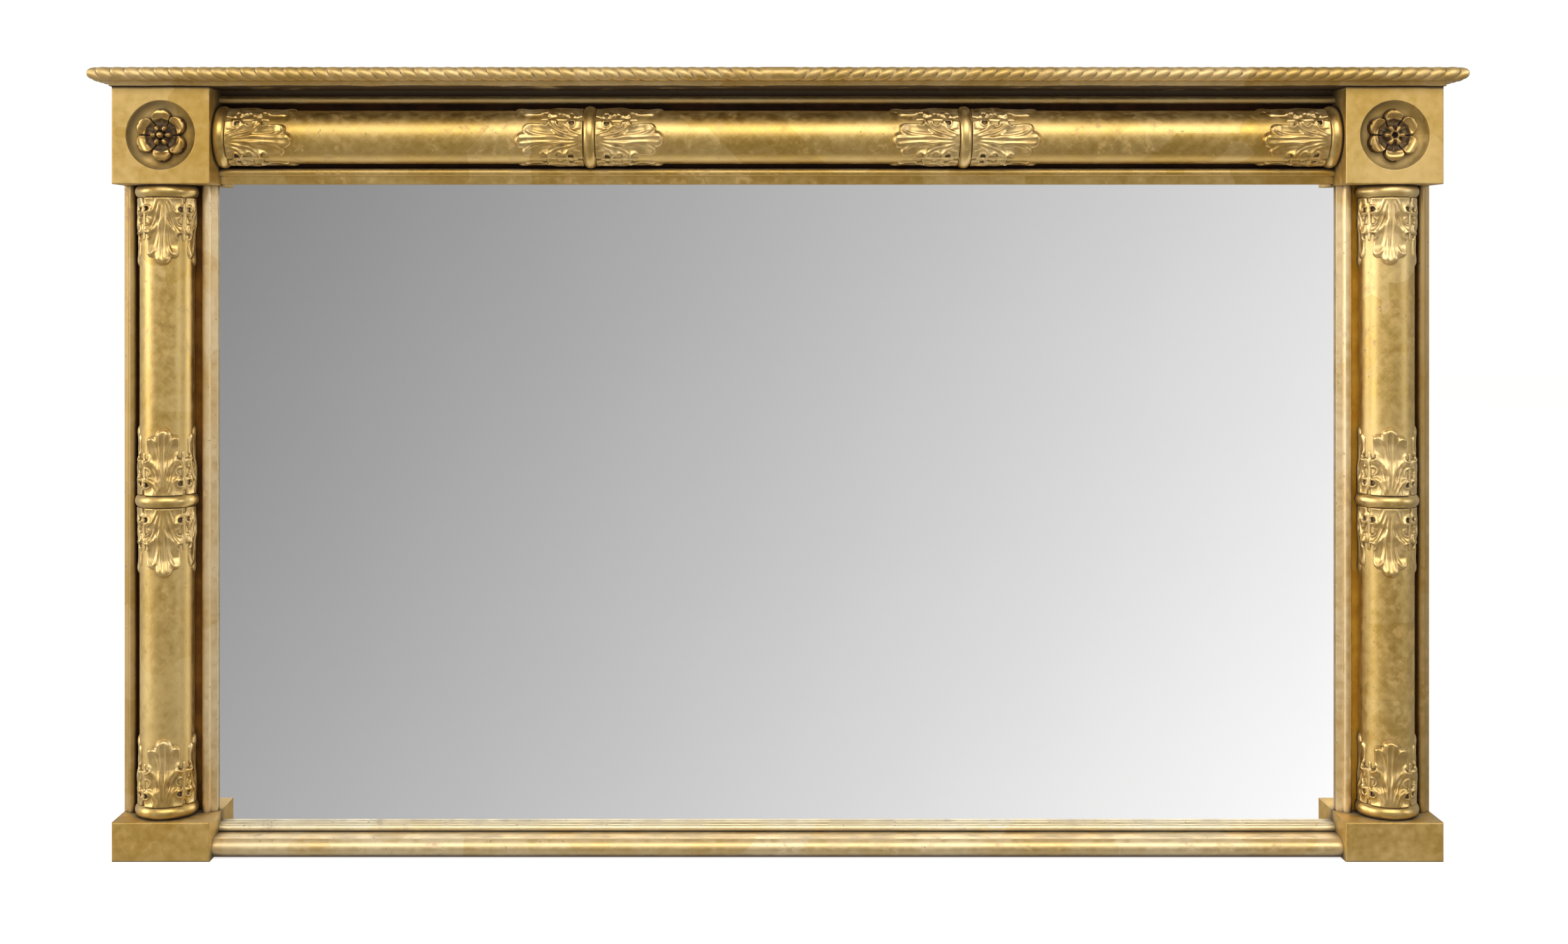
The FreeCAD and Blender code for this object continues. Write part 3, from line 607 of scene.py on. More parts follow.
# washes for light and shade: near-black rails and the darker left stile are painted shade, the brighter right stile
# is painted light
SHADE_BLACK = (0.02, 0.008, 0.004)
SHADE_BROWN = (0.07, 0.028, 0.008)
LIT_OCHRE = (1.0, 0.53, 0.05)
LIT_OCHRE_WORN = (0.74, 0.34, 0.02)
SHADED_WASH = (0.44, 0.19, 0.02)
SHADED_WASH_WORN = (0.25, 0.09, 0.006)


def pine(name, stretch, washed=None, pale=(0.36, 0.2, 0.085), brown=(0.17, 0.08, 0.03), grime_shade=0.85):
    material, shader = principled(name)
    spot = object_place()
    wood = use_effect(pine_grain, Stretch=Vector(stretch), Pale=pale, Brown=brown)
    colour = wood["Colour"]
    if washed:
        painted = remap(xyz(spot)["Y"], WASH_START, WASH_FULL)
        patchy = remap(noise(spot, WASH_PATCHES, 5.0, 0.6), 0.35, 0.7)
        wash = mix_colour(WASH_GRAIN, mix_colour(patchy, *washed), colour, "MULTIPLY")
        colour = mix_colour(painted, colour, wash)
    # grime and painted shade in the hollows
    dirt_and_shade = use_effect(hollow_grime_and_shade, Reach=0.012, Start=0.6, Full=0.1)
    colour = mix_colour(times(dirt_and_shade["Mask"], grime_shade), colour, GRIME_AND_SHADE)
    edge = use_effect(rubbed_edge, Width=EDGE_WIDTH)
    colour = mix_colour(times(edge["Mask"], WOOD_EDGE_WEAR), colour, pale)
    feed(shader, Base_Color=colour, Roughness=wood["Roughness"], Specular_IOR_Level=WOOD_SHINE)
    raise_surface(shader, wood["Relief"], BUMP_STRENGTH, WOOD_RELIEF, edge["Normal"])
    return material


LONG = 0.06
# left stile darker as painted shade; right stile brighter and without hollow grime, painted light; rails near
# black, painted shade
left_stile_shaded_pine = pine("left_stile_shaded_pine", (1.0, 1.0, LONG), washed=(SHADED_WASH_WORN, SHADED_WASH))
right_stile_lit_pine = pine("right_stile_lit_pine", (1.0, 1.0, LONG), washed=(LIT_OCHRE_WORN, LIT_OCHRE), grime_shade=0.0)
rail_shaded_pine = pine("rail_shaded_pine", (LONG, 1.0, 1.0), washed=(SHADE_BLACK, SHADE_BROWN))
board_pine = pine("board_pine", (LONG, 1.0, 1.0), pale=(0.27, 0.16, 0.075), brown=(0.12, 0.06, 0.026))
peg_pine = pine("peg_pine", (1.0, 0.3, 1.0), pale=(0.3, 0.17, 0.07))
print("wood finishes:", [m.name for m in bpy.data.materials if "pine" in m.name])

# %% [markdown]
# ### Plate, brass and iron
# The plate is silvered glass. A Principled shader with full Metallic and no
# Roughness is a true mirror, so what it shows is the room. A very faint cloud in
# the silver keeps it from being one flat colour. Hangers are brass, and screws
# and nails are iron gone brown.

# %% Plate and metal finishes
SILVER, SILVER_CLOUD = (0.915, 0.92, 0.915), (0.93, 0.932, 0.928)
METAL_GRIME_SHADE, METAL_EDGE, METAL_BUMP, METAL_RELIEF = 0.7, 0.4 * MM, 0.4, 0.1 * MM
silvered_plate, shader = principled("silvered_plate")
cloud = remap(noise(object_place(), 5.0, 4.0), 0.3, 0.7)
feed(shader, Base_Color=mix_colour(cloud, SILVER, SILVER_CLOUD), Metallic=1.0, Roughness=0.0)


def worked_metal(name, clean, dull, size):
    material, shader = principled(name)
    surface = use_effect(tarnish, Clean=clean, Dull=dull, Size=size)
    # grime and painted shade in the hollows of the metal
    dirt_and_shade = use_effect(hollow_grime_and_shade, Reach=0.004, Start=0.8, Full=0.3)
    colour = mix_colour(times(dirt_and_shade["Mask"], METAL_GRIME_SHADE), surface["Colour"], GRIME_AND_SHADE)
    feed(shader, Base_Color=colour, Metallic=0.9, Roughness=surface["Roughness"])
    edge = use_effect(rubbed_edge, Width=METAL_EDGE)
    raise_surface(shader, surface["Relief"], METAL_BUMP, METAL_RELIEF, edge["Normal"])
    return material


hanger_brass = worked_metal("hanger_brass", (0.62, 0.43, 0.16), (0.24, 0.16, 0.07), 140.0)
old_iron = worked_metal("old_iron", (0.2, 0.17, 0.15), (0.09, 0.05, 0.03), 260.0)
print("plate and metals are ready")

# %% [markdown]
# ## Carved ornament from height fields
# Acanthus leaves, petals and their curled tips are relief: seen from the front
# there is one height at each point. So the carving is worked out as a height
# over a flat sheet, the way a carver thinks of depth from the face of the block,
# and the sheet is then wrapped round the column. The outline is cut cleanly by
# marching over the grid and placing points where the edge crosses it.

# %% Cut a sheet along its outline
JUST_OUTSIDE = -0.02
NEAREST_SHARE = 0.04


def cut_sheet(across, along, inside):
    inside = inside.copy()
    inside[[0, -1], :] = np.minimum(inside[[0, -1], :], JUST_OUTSIDE)
    inside[:, [0, -1]] = np.minimum(inside[:, [0, -1]], JUST_OUTSIDE)
    numbers, spots, rim, faces = {}, [], [], []

    def corner(here):
        if here not in numbers:
            numbers[here] = len(spots)
            spots.append((across[here[0]], along[here[1]]))
            rim.append(False)
        return numbers[here]

    def crossing(here, there):
        key = (min(here, there), max(here, there))
        if key not in numbers:
            a, b = inside[key[0]], inside[key[1]]
            share = min(max(a / (a - b), NEAREST_SHARE), 1.0 - NEAREST_SHARE)
            start, end = (np.array((across[i], along[j])) for i, j in key)
            numbers[key] = len(spots)
            spots.append(tuple(start + share * (end - start)))
            rim.append(True)
        return numbers[key]

    for i in range(len(across) - 1):
        for j in range(len(along) - 1):
            ring = [(i, j), (i + 1, j), (i + 1, j + 1), (i, j + 1)]
            if max(inside[c] for c in ring) <= 0:
                continue
            face = []
            for k, here in enumerate(ring):
                there = ring[(k + 1) % 4]
                if inside[here] > 0:
                    face.append(corner(here))
                if (inside[here] > 0) != (inside[there] > 0):
                    face.append(crossing(here, there))
            faces.append(face)
    return np.array(spots), np.array(rim), faces


print("sheets can be cut")

# %% Make a piece
BACK_SIDES = 9


def make_piece(name, points, faces, finish, node):
    mesh = bpy.data.meshes.new(name)
    mesh.from_pydata([tuple(p) for p in points], [], faces)
    shape = bmesh.new()
    shape.from_mesh(mesh)
    open_edges = [e for e in shape.edges if e.is_boundary]
    if open_edges:
        bmesh.ops.holes_fill(shape, edges=open_edges, sides=0)
        for e in open_edges:
            e.smooth = False
    bmesh.ops.recalc_face_normals(shape, faces=shape.faces)
    for face in shape.faces:
        face.smooth = len(face.verts) < BACK_SIDES
    shape.to_mesh(mesh)
    shape.free()
    piece = bpy.data.objects.new(name, mesh)
    piece.data.materials.append(finish)
    scene.collection.objects.link(piece)
    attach(piece, "frame")
    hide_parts(node)
    return piece


print("cut sheets can be made into pieces that ride on the frame")

# %% [markdown]
# ### Lobes
# A leaf is a bunch of lobes. Each lobe follows a curved spine and has its own
# width along it, so it is the sweep of a circle that grows and shrinks. Across a
# lobe the carver's gouge leaves a shallow trough, and where two troughs meet
# there is a sharp arris. Towards its end the trough closes and the lobe curls
# up into a thick lip. A bell curve, laid along a line, is a cut or a ridge.

# %% Reach of one lobe
LOBE_STEPS, CREASE_STEPS = 80, 140
WIDTHS_AT = (0.0, 0.55, 1.0)
BEYOND_SHARE = 0.3


def ease(value, start, end):
    share = np.clip((value - start) / (end - start), 0.0, 1.0)
    return share * share * (3.0 - 2.0 * share)


def bell(offset, width):
    return np.exp(-(offset / width) ** 2)


def along_curve(spots, spine, steps):
    """Points on a curved spine, and how far each spot is from each of them."""
    q = np.linspace(0.0, 1.0, steps)
    a, b, c = (np.array(p, float) for p in spine)
    centres = np.outer((1 - q) ** 2, a) + np.outer(2 * q * (1 - q), b) + np.outer(q ** 2, c)
    ways = np.outer(1 - q, b - a) + np.outer(q, c - b)
    ways /= np.hypot(ways[:, :1], ways[:, 1:])
    return q, centres, ways, np.hypot(spots[:, :1] - centres[:, 0], spots[:, 1:] - centres[:, 1])


def crease(spots, spine):
    q, _, _, away = along_curve(spots, spine, CREASE_STEPS)
    return away.min(axis=1), q[away.argmin(axis=1)]


def lobe(spots, spine, widths):
    q, centres, ways, away = along_curve(spots, spine, LOBE_STEPS)
    width = np.interp(q, WIDTHS_AT, widths)
    best = (width - away).argmax(axis=1)
    inside = (width - away)[np.arange(len(spots)), best]
    offset, way = spots - centres[best], ways[best]
    side = np.clip((way[:, 0] * offset[:, 1] - way[:, 1] * offset[:, 0]) / width[best], -1.0, 1.0)
    beyond = np.clip((way[:, 0] * offset[:, 0] + way[:, 1] * offset[:, 1]) / width[best], 0.0, 1.0)
    return inside, q[best] + BEYOND_SHARE * beyond, side


print("a lobe is swept in", LOBE_STEPS, "steps")

# %% Join and wear the lobes
WEAR_SHARE = 0.6


def smoothed(height, faces, rim, rounds):
    """Wear the carving down: each point moves towards the mean of its neighbours."""
    pairs = np.array([(face[k - 1], face[k]) for face in faces for k in range(len(face))])
    count = np.bincount(pairs.ravel(), minlength=len(height))
    for _ in range(rounds):
        total = np.bincount(pairs[:, 0], height[pairs[:, 1]], len(height))
        total += np.bincount(pairs[:, 1], height[pairs[:, 0]], len(height))
        height = np.where(rim, height, (1.0 - WEAR_SHARE) * height + WEAR_SHARE * total / count)
    return height


def gouged(lobes, edge_round, sharp):
    """Join lobes: troughs keep to their own lobe, and the joint edge is rounded once."""
    reach = np.stack([inside for inside, height in lobes])
    inside = reach.max(axis=0)
    share = np.exp((reach - inside) / sharp)
    height = (share * np.stack([height for inside, height in lobes])).sum(axis=0) / share.sum(axis=0)
    rim = np.clip(inside / edge_round, 0.0, 1.0)
    return inside, height * np.sin(rim * math.pi / 2)


print("lobes can be joined into leaves and petals")

# %% [markdown]
# ### One acanthus leaf
# From its ring the leaf starts smooth and broad, then fans into seven lobes: a
# rolled tip and three pairs. Sizes are in millimetres on the flat sheet, with
# the ring at zero and the tip at seventy. A thin double midrib runs down the
# middle, raised ridges lead from it into the lobes, and eyes drilled right
# through mark where two lobes part.

# %% Leaf field
LEAF_LENGTH = 70.0
LEAF_BODY = 3.5
STALK = (((0, -6), (0, 4), (0, 17)), (19.6, 15.0, 4.0), 0.3, 0.0)
TIP = (((0, 17), (0, 40), (0, 60.6)), (3.6, 6.6, 8.8), 1.8, 2.0)
PAIRS = (
    (((9.5, -3.0), (12.6, 5.0), (13.6, 13.8)), (9.6, 8.2, 6.2), 1.8, 0.7),
    (((4.6, 13.0), (9.0, 21.0), (13.6, 32.6)), (6.0, 7.8, 6.6), 2.7, 0.9),
    (((3.0, 24.0), (8.6, 40.0), (11.4, 56.2)), (4.6, 7.8, 5.4), 2.7, 1.5),
)
EYES = ((16.6, 12.0, 1.9), (16.8, 24.0, 2.2), (16.4, 38.5, 2.0))
EYE_RIM, EYE_RIM_AT, EYE_RIM_WIDTH = 1.5, 1.7, 1.3
RIDGES = (
    (((4.8, -2.0), (6.5, 13.0), (16.0, 20.0)), 0.7),
    (((3.2, 0.0), (5.2, 24.0), (15.6, 36.0)), 1.2),
    (((3.0, 18.0), (3.8, 44.0), (9.0, 60.5)), 0.7),
)
RIDGE_WIDTH, RIDGE_FOOT, RIDGE_FOOT_AT, RIDGE_FOOT_WIDTH = 0.95, 0.5, 2.2, 1.0
EDGE_ROUND, TIP_ROUND, ARRIS = 1.6, 2.2, 0.6
TIP_ROLL = (52.0, 60.0)
RIB_START, RIB_END = (2.0, 12.0), (60.0, 66.0)
RIB_AT, RIB_SPREAD, RIB_WIDTH = 1.6, 0.016, 0.85
RIB_RISE, RIB_GROOVE, RIB_FOOT = 0.9, 0.45, 0.5
RIB_FOOT_AT, RIB_FOOT_WIDTH = 2.6, 1.3
CLEAR_OF_EDGE = (0.2, 1.6)


def troughed(half, spine, widths, hollow, curl):
    inside, along, side = lobe(half, spine, widths)
    open_part = ease(along, 0.1, 0.45) * (1.0 - ease(along, 0.78, 1.08))
    trough = hollow * open_part * (1.0 - side ** 2)
    return inside, LEAF_BODY - trough + curl * ease(along, 0.72, 1.12)


def leaf(spots):
    half = np.column_stack((np.abs(spots[:, 0]), spots[:, 1]))
    x, t = half[:, 0], half[:, 1]
    rolled = EDGE_ROUND + TIP_ROUND * ease(t, *TIP_ROLL)
    inside, height = gouged([troughed(half, *part) for part in (STALK, *PAIRS, TIP)], rolled, ARRIS)
    along = ease(t, *RIB_START) * (1.0 - ease(t, *RIB_END))
    spread = RIB_AT + RIB_SPREAD * t
    cut = RIB_RISE * bell(x - spread, RIB_WIDTH) - RIB_GROOVE * bell(x, RIB_WIDTH)
    cut = along * (cut - RIB_FOOT * bell(x - RIB_FOOT_AT * spread, RIB_FOOT_WIDTH))
    for spine, rise in RIDGES:
        reach, share = crease(half, spine)
        fade = ease(share, 0.0, 0.2) * (1.0 - ease(share, 0.8, 1.0))
        foot = RIDGE_FOOT * bell(reach - RIDGE_FOOT_AT, RIDGE_FOOT_WIDTH)
        cut = cut + rise * fade * (bell(reach, RIDGE_WIDTH) - foot)
    for eye_x, eye_t, size in EYES:
        far = np.hypot(x - eye_x, t - eye_t)
        cut = cut + EYE_RIM * bell(far - size - EYE_RIM_AT, EYE_RIM_WIDTH)
        inside = np.minimum(inside, far - size)
    return inside, height, cut * ease(inside, *CLEAR_OF_EDGE)


print("one leaf has", 2 * len(PAIRS) + 1, "lobes and", 2 * len(EYES), "eyes")

# %% [markdown]
# ### A collar of three leaves
# Each collar has one leaf in front and one at each side, about a right angle
# apart, so their edges show against the light. A plain stem stands between two
# leaves. The sheet is as wide as the column's rounded part, and it is worked out
# once for each lean of the front leaf.

# %% Collar sheet
SHEET_STEP = 0.65
SIDE_TURN = math.radians(92)
SHEET_TURN = math.radians(115)
STEM = (((0, 7.0), (0, 24.0), (0, 42.0)), (2.9, 2.6, 2.2))
STEM_RISE, STEM_ROUND = 1.2, 2.4
SIDE_RELIEF, SIDE_TIP_LOSS, SIDE_TIP = 0.66, 0.45, (42.0, 58.0)
FAR_OUTSIDE = -9.0
SUNK = -0.25
LEAST_HEIGHT = 0.15
WEAR_ROUNDS = 5
LEANS = {"left": 7, "right": -10}
FRIEZE_LEAN = -9
collar_radius = COLUMN_RADIUS / MM
half_sheet = SHEET_TURN * collar_radius
across = np.linspace(-half_sheet, half_sheet, 2 * round(half_sheet / SHEET_STEP) + 1)
along = np.arange(-SHEET_STEP, LEAF_LENGTH + 2 * SHEET_STEP, SHEET_STEP)


def grid_of(across, along):
    return np.stack(np.meshgrid(across, along, indexing="ij"), axis=-1).reshape(-1, 2)


def collar_field(spots, lean):
    inside, height, cut = np.full(len(spots), FAR_OUTSIDE), np.zeros(len(spots)), np.zeros(len(spots))
    for step, relief in ((-1.0, SIDE_RELIEF), (1.0, SIDE_RELIEF), (0.0, 1.0)):
        reach, lift, lines = leaf(spots - ((lean + step * SIDE_TURN) * collar_radius, 0.0))
        flat = relief * (1.0 - SIDE_TIP_LOSS * abs(step) * ease(spots[:, 1], *SIDE_TIP))
        lift, lines = flat * lift, flat * lines
        nearer = (reach > inside) & (reach > 0)
        height, cut = np.where(nearer, lift, height), np.where(nearer, lines, cut)
        inside = np.maximum(inside, reach)
    for step in (-0.5, 0.5):
        reach = lobe(spots - ((lean + step * SIDE_TURN) * collar_radius, 0.0), *STEM)[0]
        height = np.maximum(height, STEM_RISE * np.sin(np.clip(reach / STEM_ROUND, 0.0, 1.0) * math.pi / 2))
        inside = np.maximum(inside, reach)
    return inside, height, cut


def collar_sheet(lean):
    field = collar_field(grid_of(across, along), lean)[0].reshape(len(across), len(along))
    spots, rim, faces = cut_sheet(across, along, field)
    height, cut = collar_field(spots, lean)[1:]
    height = np.maximum(smoothed(height, faces, rim, WEAR_ROUNDS) + cut, LEAST_HEIGHT)
    height[rim] = SUNK
    return spots, rim, faces, height


sheets = {lean: collar_sheet(math.radians(lean)) for lean in (*LEANS.values(), FRIEZE_LEAN)}
print("collar sheets:", {lean: len(sheet[2]) for lean, sheet in sheets.items()}, "faces")

# %% [markdown]
# ### Wrap the collars
# Fourteen collars come from these sheets. Each is bent a little by slow waves
# from its own seed, so that no two are twins. Distance across the sheet becomes
# an angle round the column, and the carved height adds to its radius.

# %% Wrapped collars
BEND_START = (2.0, 12.0)
SWAY, RIPPLE, STRETCH, DRAW_IN, SWELL = 0.6, 0.3, 0.8, 0.6, 0.14


def wrapped_collar(name, seed, lean, place_point):
    spots, rim, faces, carved = sheets[lean]
    rng = np.random.default_rng(seed)
    wave = rng.uniform(0, 2 * math.pi, 6)
    s, t = spots[:, 0], spots[:, 1]
    bend = ease(t, *BEND_START)
    s_bent = s + bend * (SWAY * np.sin(t / 13.0 + wave[0]) + RIPPLE * np.sin(s / 7.0 + wave[1]))
    t_bent = t + bend * (STRETCH * np.sin(s / 11.0 + wave[2]) - DRAW_IN)
    swell = 1.0 + SWELL * np.sin(s / 9.0 + wave[3]) * np.sin(t / 12.0 + wave[4])
    height = np.where(rim, carved, carved * swell)
    angle = s_bent / collar_radius
    radius = (collar_radius + height) * MM
    points = place_point(radius * np.sin(angle), radius * np.cos(angle), t_bent * MM)
    return make_piece(name + "_carving", points, faces, gilt["ornament"], name)


def on_upright(x, z_start, way):
    return lambda side, front, t: np.column_stack((x + side, COLUMN_Y - front, z_start + way * t))


def on_frieze(x_start, way):
    return lambda side, front, t: np.column_stack((x_start + way * t, COLUMN_Y - front, FRIEZE_Z + side))


carvings = []
for side, sign in (("left", -1), ("right", 1)):
    for spot_name, way in (("base", 1), ("lower", -1), ("upper", 1), ("neck", -1)):
        name = f"{side}_{spot_name}_leaves"
        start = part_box(name)[0].z if way > 0 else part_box(name)[1].z
        upright = on_upright(sign * COLUMN_X, start, way)
        carvings.append(wrapped_collar(name, len(carvings), LEANS[side], upright))
    for spot_name, way in (("end", -sign), ("outer", sign), ("inner", -sign)):
        name = f"frieze_{side}_{spot_name}_leaves"
        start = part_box(name)[0].x if way > 0 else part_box(name)[1].x
        carvings.append(wrapped_collar(name, len(carvings), FRIEZE_LEAN, on_frieze(start, way)))
print("leaf collars:", len(carvings))

# %% [markdown]
# ## Rosettes
# Each corner block has a round sinking with a cast flower in it: six cupped
# petals, six small buds within, and a bead at the heart. The right flower has
# lost its bead, which leaves a hole. Petals are lobes again, turned about the
# middle, with deep hollows, high tips and a notch in each tip.

# %% One petal
PETALS = 6
PETAL_TURNS = (0.0, 0.05, -0.06, 0.03, -0.05, 0.06)
PETAL_TILTS = (0.5, -0.4, 0.3, 0.6, -0.3, 0.2)
PETAL_SPINE, PETAL_WIDTHS = ((0, 4), (0, 11), (0, 17.0)), (3.2, 8.6, 10.0)
PETAL_BODY, PETAL_CUP, PETAL_CURL, PETAL_TURN_DOWN, PETAL_TILT = 6.4, 4.4, 3.4, 1.6, 2.4
NOTCH_AT, NOTCH_RADIUS = 28.4, 2.2
PLEAT_WIDTH = 0.8


def turned_spots(spots, turn):
    c, s = math.cos(turn), math.sin(turn)
    return np.column_stack((c * spots[:, 0] + s * spots[:, 1], -s * spots[:, 0] + c * spots[:, 1]))


def petal(spots, turn, tilt):
    here = turned_spots(spots, turn)
    inside, along, side = lobe(here, PETAL_SPINE, PETAL_WIDTHS)
    inside = np.minimum(inside, np.hypot(here[:, 0], here[:, 1] - NOTCH_AT) - NOTCH_RADIUS)
    cupped = PETAL_CUP * ease(along, 0.1, 0.5) * (1.0 - ease(along, 0.86, 1.2)) * (1.0 - side ** 2)
    curled = PETAL_CURL * ease(along, 0.7, 1.1) - PETAL_TURN_DOWN * ease(along, 1.1, 1.3)
    pleat = bell(here[:, 0], PLEAT_WIDTH) * (1.0 - ease(along, 0.7, 1.0))
    return inside, PETAL_BODY - cupped + curled + pleat + tilt * PETAL_TILT * side * ease(along, 0.2, 0.7)


print("one flower has", PETALS, "petals")

# %% One flower
PETAL_STEP = 2 * math.pi / PETALS
PETAL_ROUND, PETAL_ARRIS = 1.5, 0.3
HEART_RADIUS, HEART_HEIGHT = 8.0, 3.0
SEAM_DEPTH, SEAM_WIDTH, SEAM_FULL = 3.4, 0.9, 11.0
BUD_SPINE, BUD_WIDTHS = ((0, 4.4), (0, 6.2), (0, 8.0)), (1.6, 2.3, 2.6)
BUD_FOOT, BUD_RISE, BUD_ROUND = 7.0, 4.6, 2.4
BEAD_RADIUS, BEAD_HEIGHT = 3.0, 12.4
GROOVE_DEPTH, GROOVE_AT, GROOVE_WIDTH = 4.0, 0.9, 0.8
HOLE_RADIUS, HOLE_RIM, HOLE_RIM_AT, HOLE_RIM_FALL = 2.7, 10.5, 3.8, 1.6
LEAST_FLOWER = 0.5


def flower(spots, has_bead):
    from_middle = np.hypot(spots[:, 0], spots[:, 1])
    turns = [k * PETAL_STEP + wobble for k, wobble in enumerate(PETAL_TURNS)]
    petals = [petal(spots, turn, tilt) for turn, tilt in zip(turns, PETAL_TILTS)]
    inside, height = gouged(petals, PETAL_ROUND, PETAL_ARRIS)
    seam = np.sort(np.stack([reach for reach, lift in petals]), axis=0)
    between = bell(seam[-1] - seam[-2], SEAM_WIDTH) * ease(from_middle, HEART_RADIUS, SEAM_FULL)
    height = height - SEAM_DEPTH * between
    inside = np.maximum(inside, HEART_RADIUS - from_middle)
    height = np.where(from_middle < HEART_RADIUS, np.maximum(height, HEART_HEIGHT), height)
    for k in range(PETALS):
        reach = lobe(turned_spots(spots, (k + 0.5) * PETAL_STEP), BUD_SPINE, BUD_WIDTHS)[0]
        from_edge = 1.0 - np.clip(reach / BUD_ROUND, 0.0, 1.0)
        bud = BUD_FOOT + BUD_RISE * np.sqrt(np.clip(1.0 - from_edge ** 2, 0.0, 1.0))
        height = np.where(reach > 0, np.maximum(height, bud), height)
    if has_bead:
        height = height - GROOVE_DEPTH * bell(from_middle - BEAD_RADIUS - GROOVE_AT, GROOVE_WIDTH)
        dome = BEAD_HEIGHT + np.sqrt(np.clip(BEAD_RADIUS ** 2 - from_middle ** 2, 0.0, None))
        height = np.where(from_middle < BEAD_RADIUS, dome, height)
    else:
        collar = HOLE_RIM - HOLE_RIM_FALL * np.abs(from_middle - HOLE_RIM_AT)
        height = np.where(from_middle < HOLE_RADIUS, HEART_HEIGHT, np.maximum(height, collar))
    return inside, np.maximum(height, LEAST_FLOWER)


print("heart of the flower, mm:", 2 * HEART_RADIUS, "across")

# %% [markdown]
# ### Set the flowers in their sinkings
# The flower's sheet stays flat, so its points go straight to the floor of the
# round sinking, and the height points out of it.

# %% Rosettes
FLOWER_STEP = 0.42
FLOWER_REACH = 28.2
ROUNDEL_DEPTH = 9.0 * MM
flower_line = np.arange(-FLOWER_REACH, FLOWER_REACH + FLOWER_STEP, FLOWER_STEP)
for side, has_bead in (("left", True), ("right", False)):
    block_low, block_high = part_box(f"{side}_corner_block")
    field = flower(grid_of(flower_line, flower_line), has_bead)[0].reshape(len(flower_line), -1)
    spots, rim, faces = cut_sheet(flower_line, flower_line, field)
    height = flower(spots, has_bead)[1]
    height[rim] = SUNK
    middle = (block_low + block_high) / 2
    floor_y = block_low.y + ROUNDEL_DEPTH
    points = np.column_stack((middle.x + spots[:, 0] * MM, floor_y - height * MM, middle.z + spots[:, 1] * MM))
    rosette = make_piece(f"{side}_flower", points, faces, gilt["flower"], f"{side}_rosette")
    print(rosette.name, len(points), "points")

# %% [markdown]
# ## Rope moulding
# The front edge of the cornice carries a twisted rope, cut from one strip of
# wood. Its twist leans one way on the left half and the other way on the right,
# with a plain patch where the two meet. A rope is a half-round whose radius dips
# along slanting grooves, so the groove follows the distance along the strip
# plus a share of the angle round it. The ends are mitred by letting each point
# run as far past the corner as it stands out from the board.

# %% Rope section
rope_low, rope_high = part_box("front_rope")
ROPE_RADIUS = (rope_high.z - rope_low.z) / 2
ROPE_Z = (rope_high.z + rope_low.z) / 2
ROPE_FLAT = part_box("cornice_board")[0].y
ROPE_Y = rope_low.y + ROPE_RADIUS
BOARD_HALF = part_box("cornice_board")[1].x
STRAND_PITCH = 14.2 * MM
STRAND_LEAN = 0.31
GROOVE = 2.7 * MM
PLAIN_HALF, PLAIN_FADE = 14.0 * MM, 5.0 * MM
ROPE_SIDES = 18
ROPE_STEP = 1.0 * MM
back_angle = math.acos((ROPE_Y - ROPE_FLAT) / ROPE_RADIUS)
rope_angles = np.linspace(-back_angle, back_angle, ROPE_SIDES)


def rope_profile(run, plain):
    hand = np.where(run < 0, -1, 1)
    phase = run[:, None] / STRAND_PITCH - hand[:, None] * STRAND_LEAN * rope_angles[None, :]
    strand = np.sqrt(np.clip(1.0 - (2.0 * (phase - np.floor(phase)) - 1.0) ** 2, 0.0, 1.0))
    fade = np.cos(rope_angles / back_angle * math.pi / 2) ** 0.4
    return ROPE_RADIUS - GROOVE * (1.0 - strand) * plain[:, None] * fade[None, :]


def strip_faces(stations, sides):
    faces = []
    for i in range(stations - 1):
        for j in range(sides):
            k = (j + 1) % sides
            faces.append((i * sides + j, i * sides + k, (i + 1) * sides + k, (i + 1) * sides + j))
    return faces


def rope_strip(name, share, run, plain, place_point):
    radius = rope_profile(run, plain)
    out = np.maximum((ROPE_FLAT - ROPE_Y) + radius * np.cos(rope_angles), 0.0)
    up = radius * np.sin(rope_angles)
    points = np.stack(place_point(share[:, None], out, up), axis=-1).reshape(-1, 3)
    faces = strip_faces(len(run), ROPE_SIDES)
    return make_piece(name + "_twist", points, faces, gilt["rope"], name)


print("rope, mm:", round(2 * ROPE_RADIUS / MM, 1), "thick, one strand each", round(STRAND_PITCH / MM, 1))

# %% [markdown]
# ### Lay the rope along the front and the ends
# On the left half of the front the strands turn with the left hand, on the right
# half with the right. Each end carries on the twist of its own half.

# %% Rope strips
def front_points(share, out, up):
    return share * (BOARD_HALF + out), ROPE_FLAT - out, ROPE_Z + up


share = np.linspace(-1.0, 1.0, round(2 * BOARD_HALF / ROPE_STEP))
run = share * BOARD_HALF
plain = ease(np.abs(run), PLAIN_HALF, PLAIN_HALF + PLAIN_FADE)
rope_strip("front_rope", share, run, plain, front_points)

end_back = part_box("right_end_rope")[1].y
for side, sign in (("left", -1), ("right", 1)):
    def end_points(share, out, up):
        front = ROPE_FLAT - out
        return sign * (BOARD_HALF + out), front + share * (end_back - front), ROPE_Z + up

    length = end_back - ROPE_FLAT
    share = np.linspace(0.0, 1.0, round(length / ROPE_STEP))
    run = sign * (BOARD_HALF + share * length)
    rope_strip(f"{side}_end_rope", share, run, np.ones(len(run)), end_points)
print("rope strips along", round(2 * BOARD_HALF / MM), "mm of front and two ends")

# %% [markdown]
# ## Finishes on the CAD pieces
# The turned columns, mouldings, blocks, boards and hardware already have their
# right shape in the CAD, so they only get a finish. The table goes by the end
# of each name, because pieces of one kind share a finish. The first line that
# fits counts.

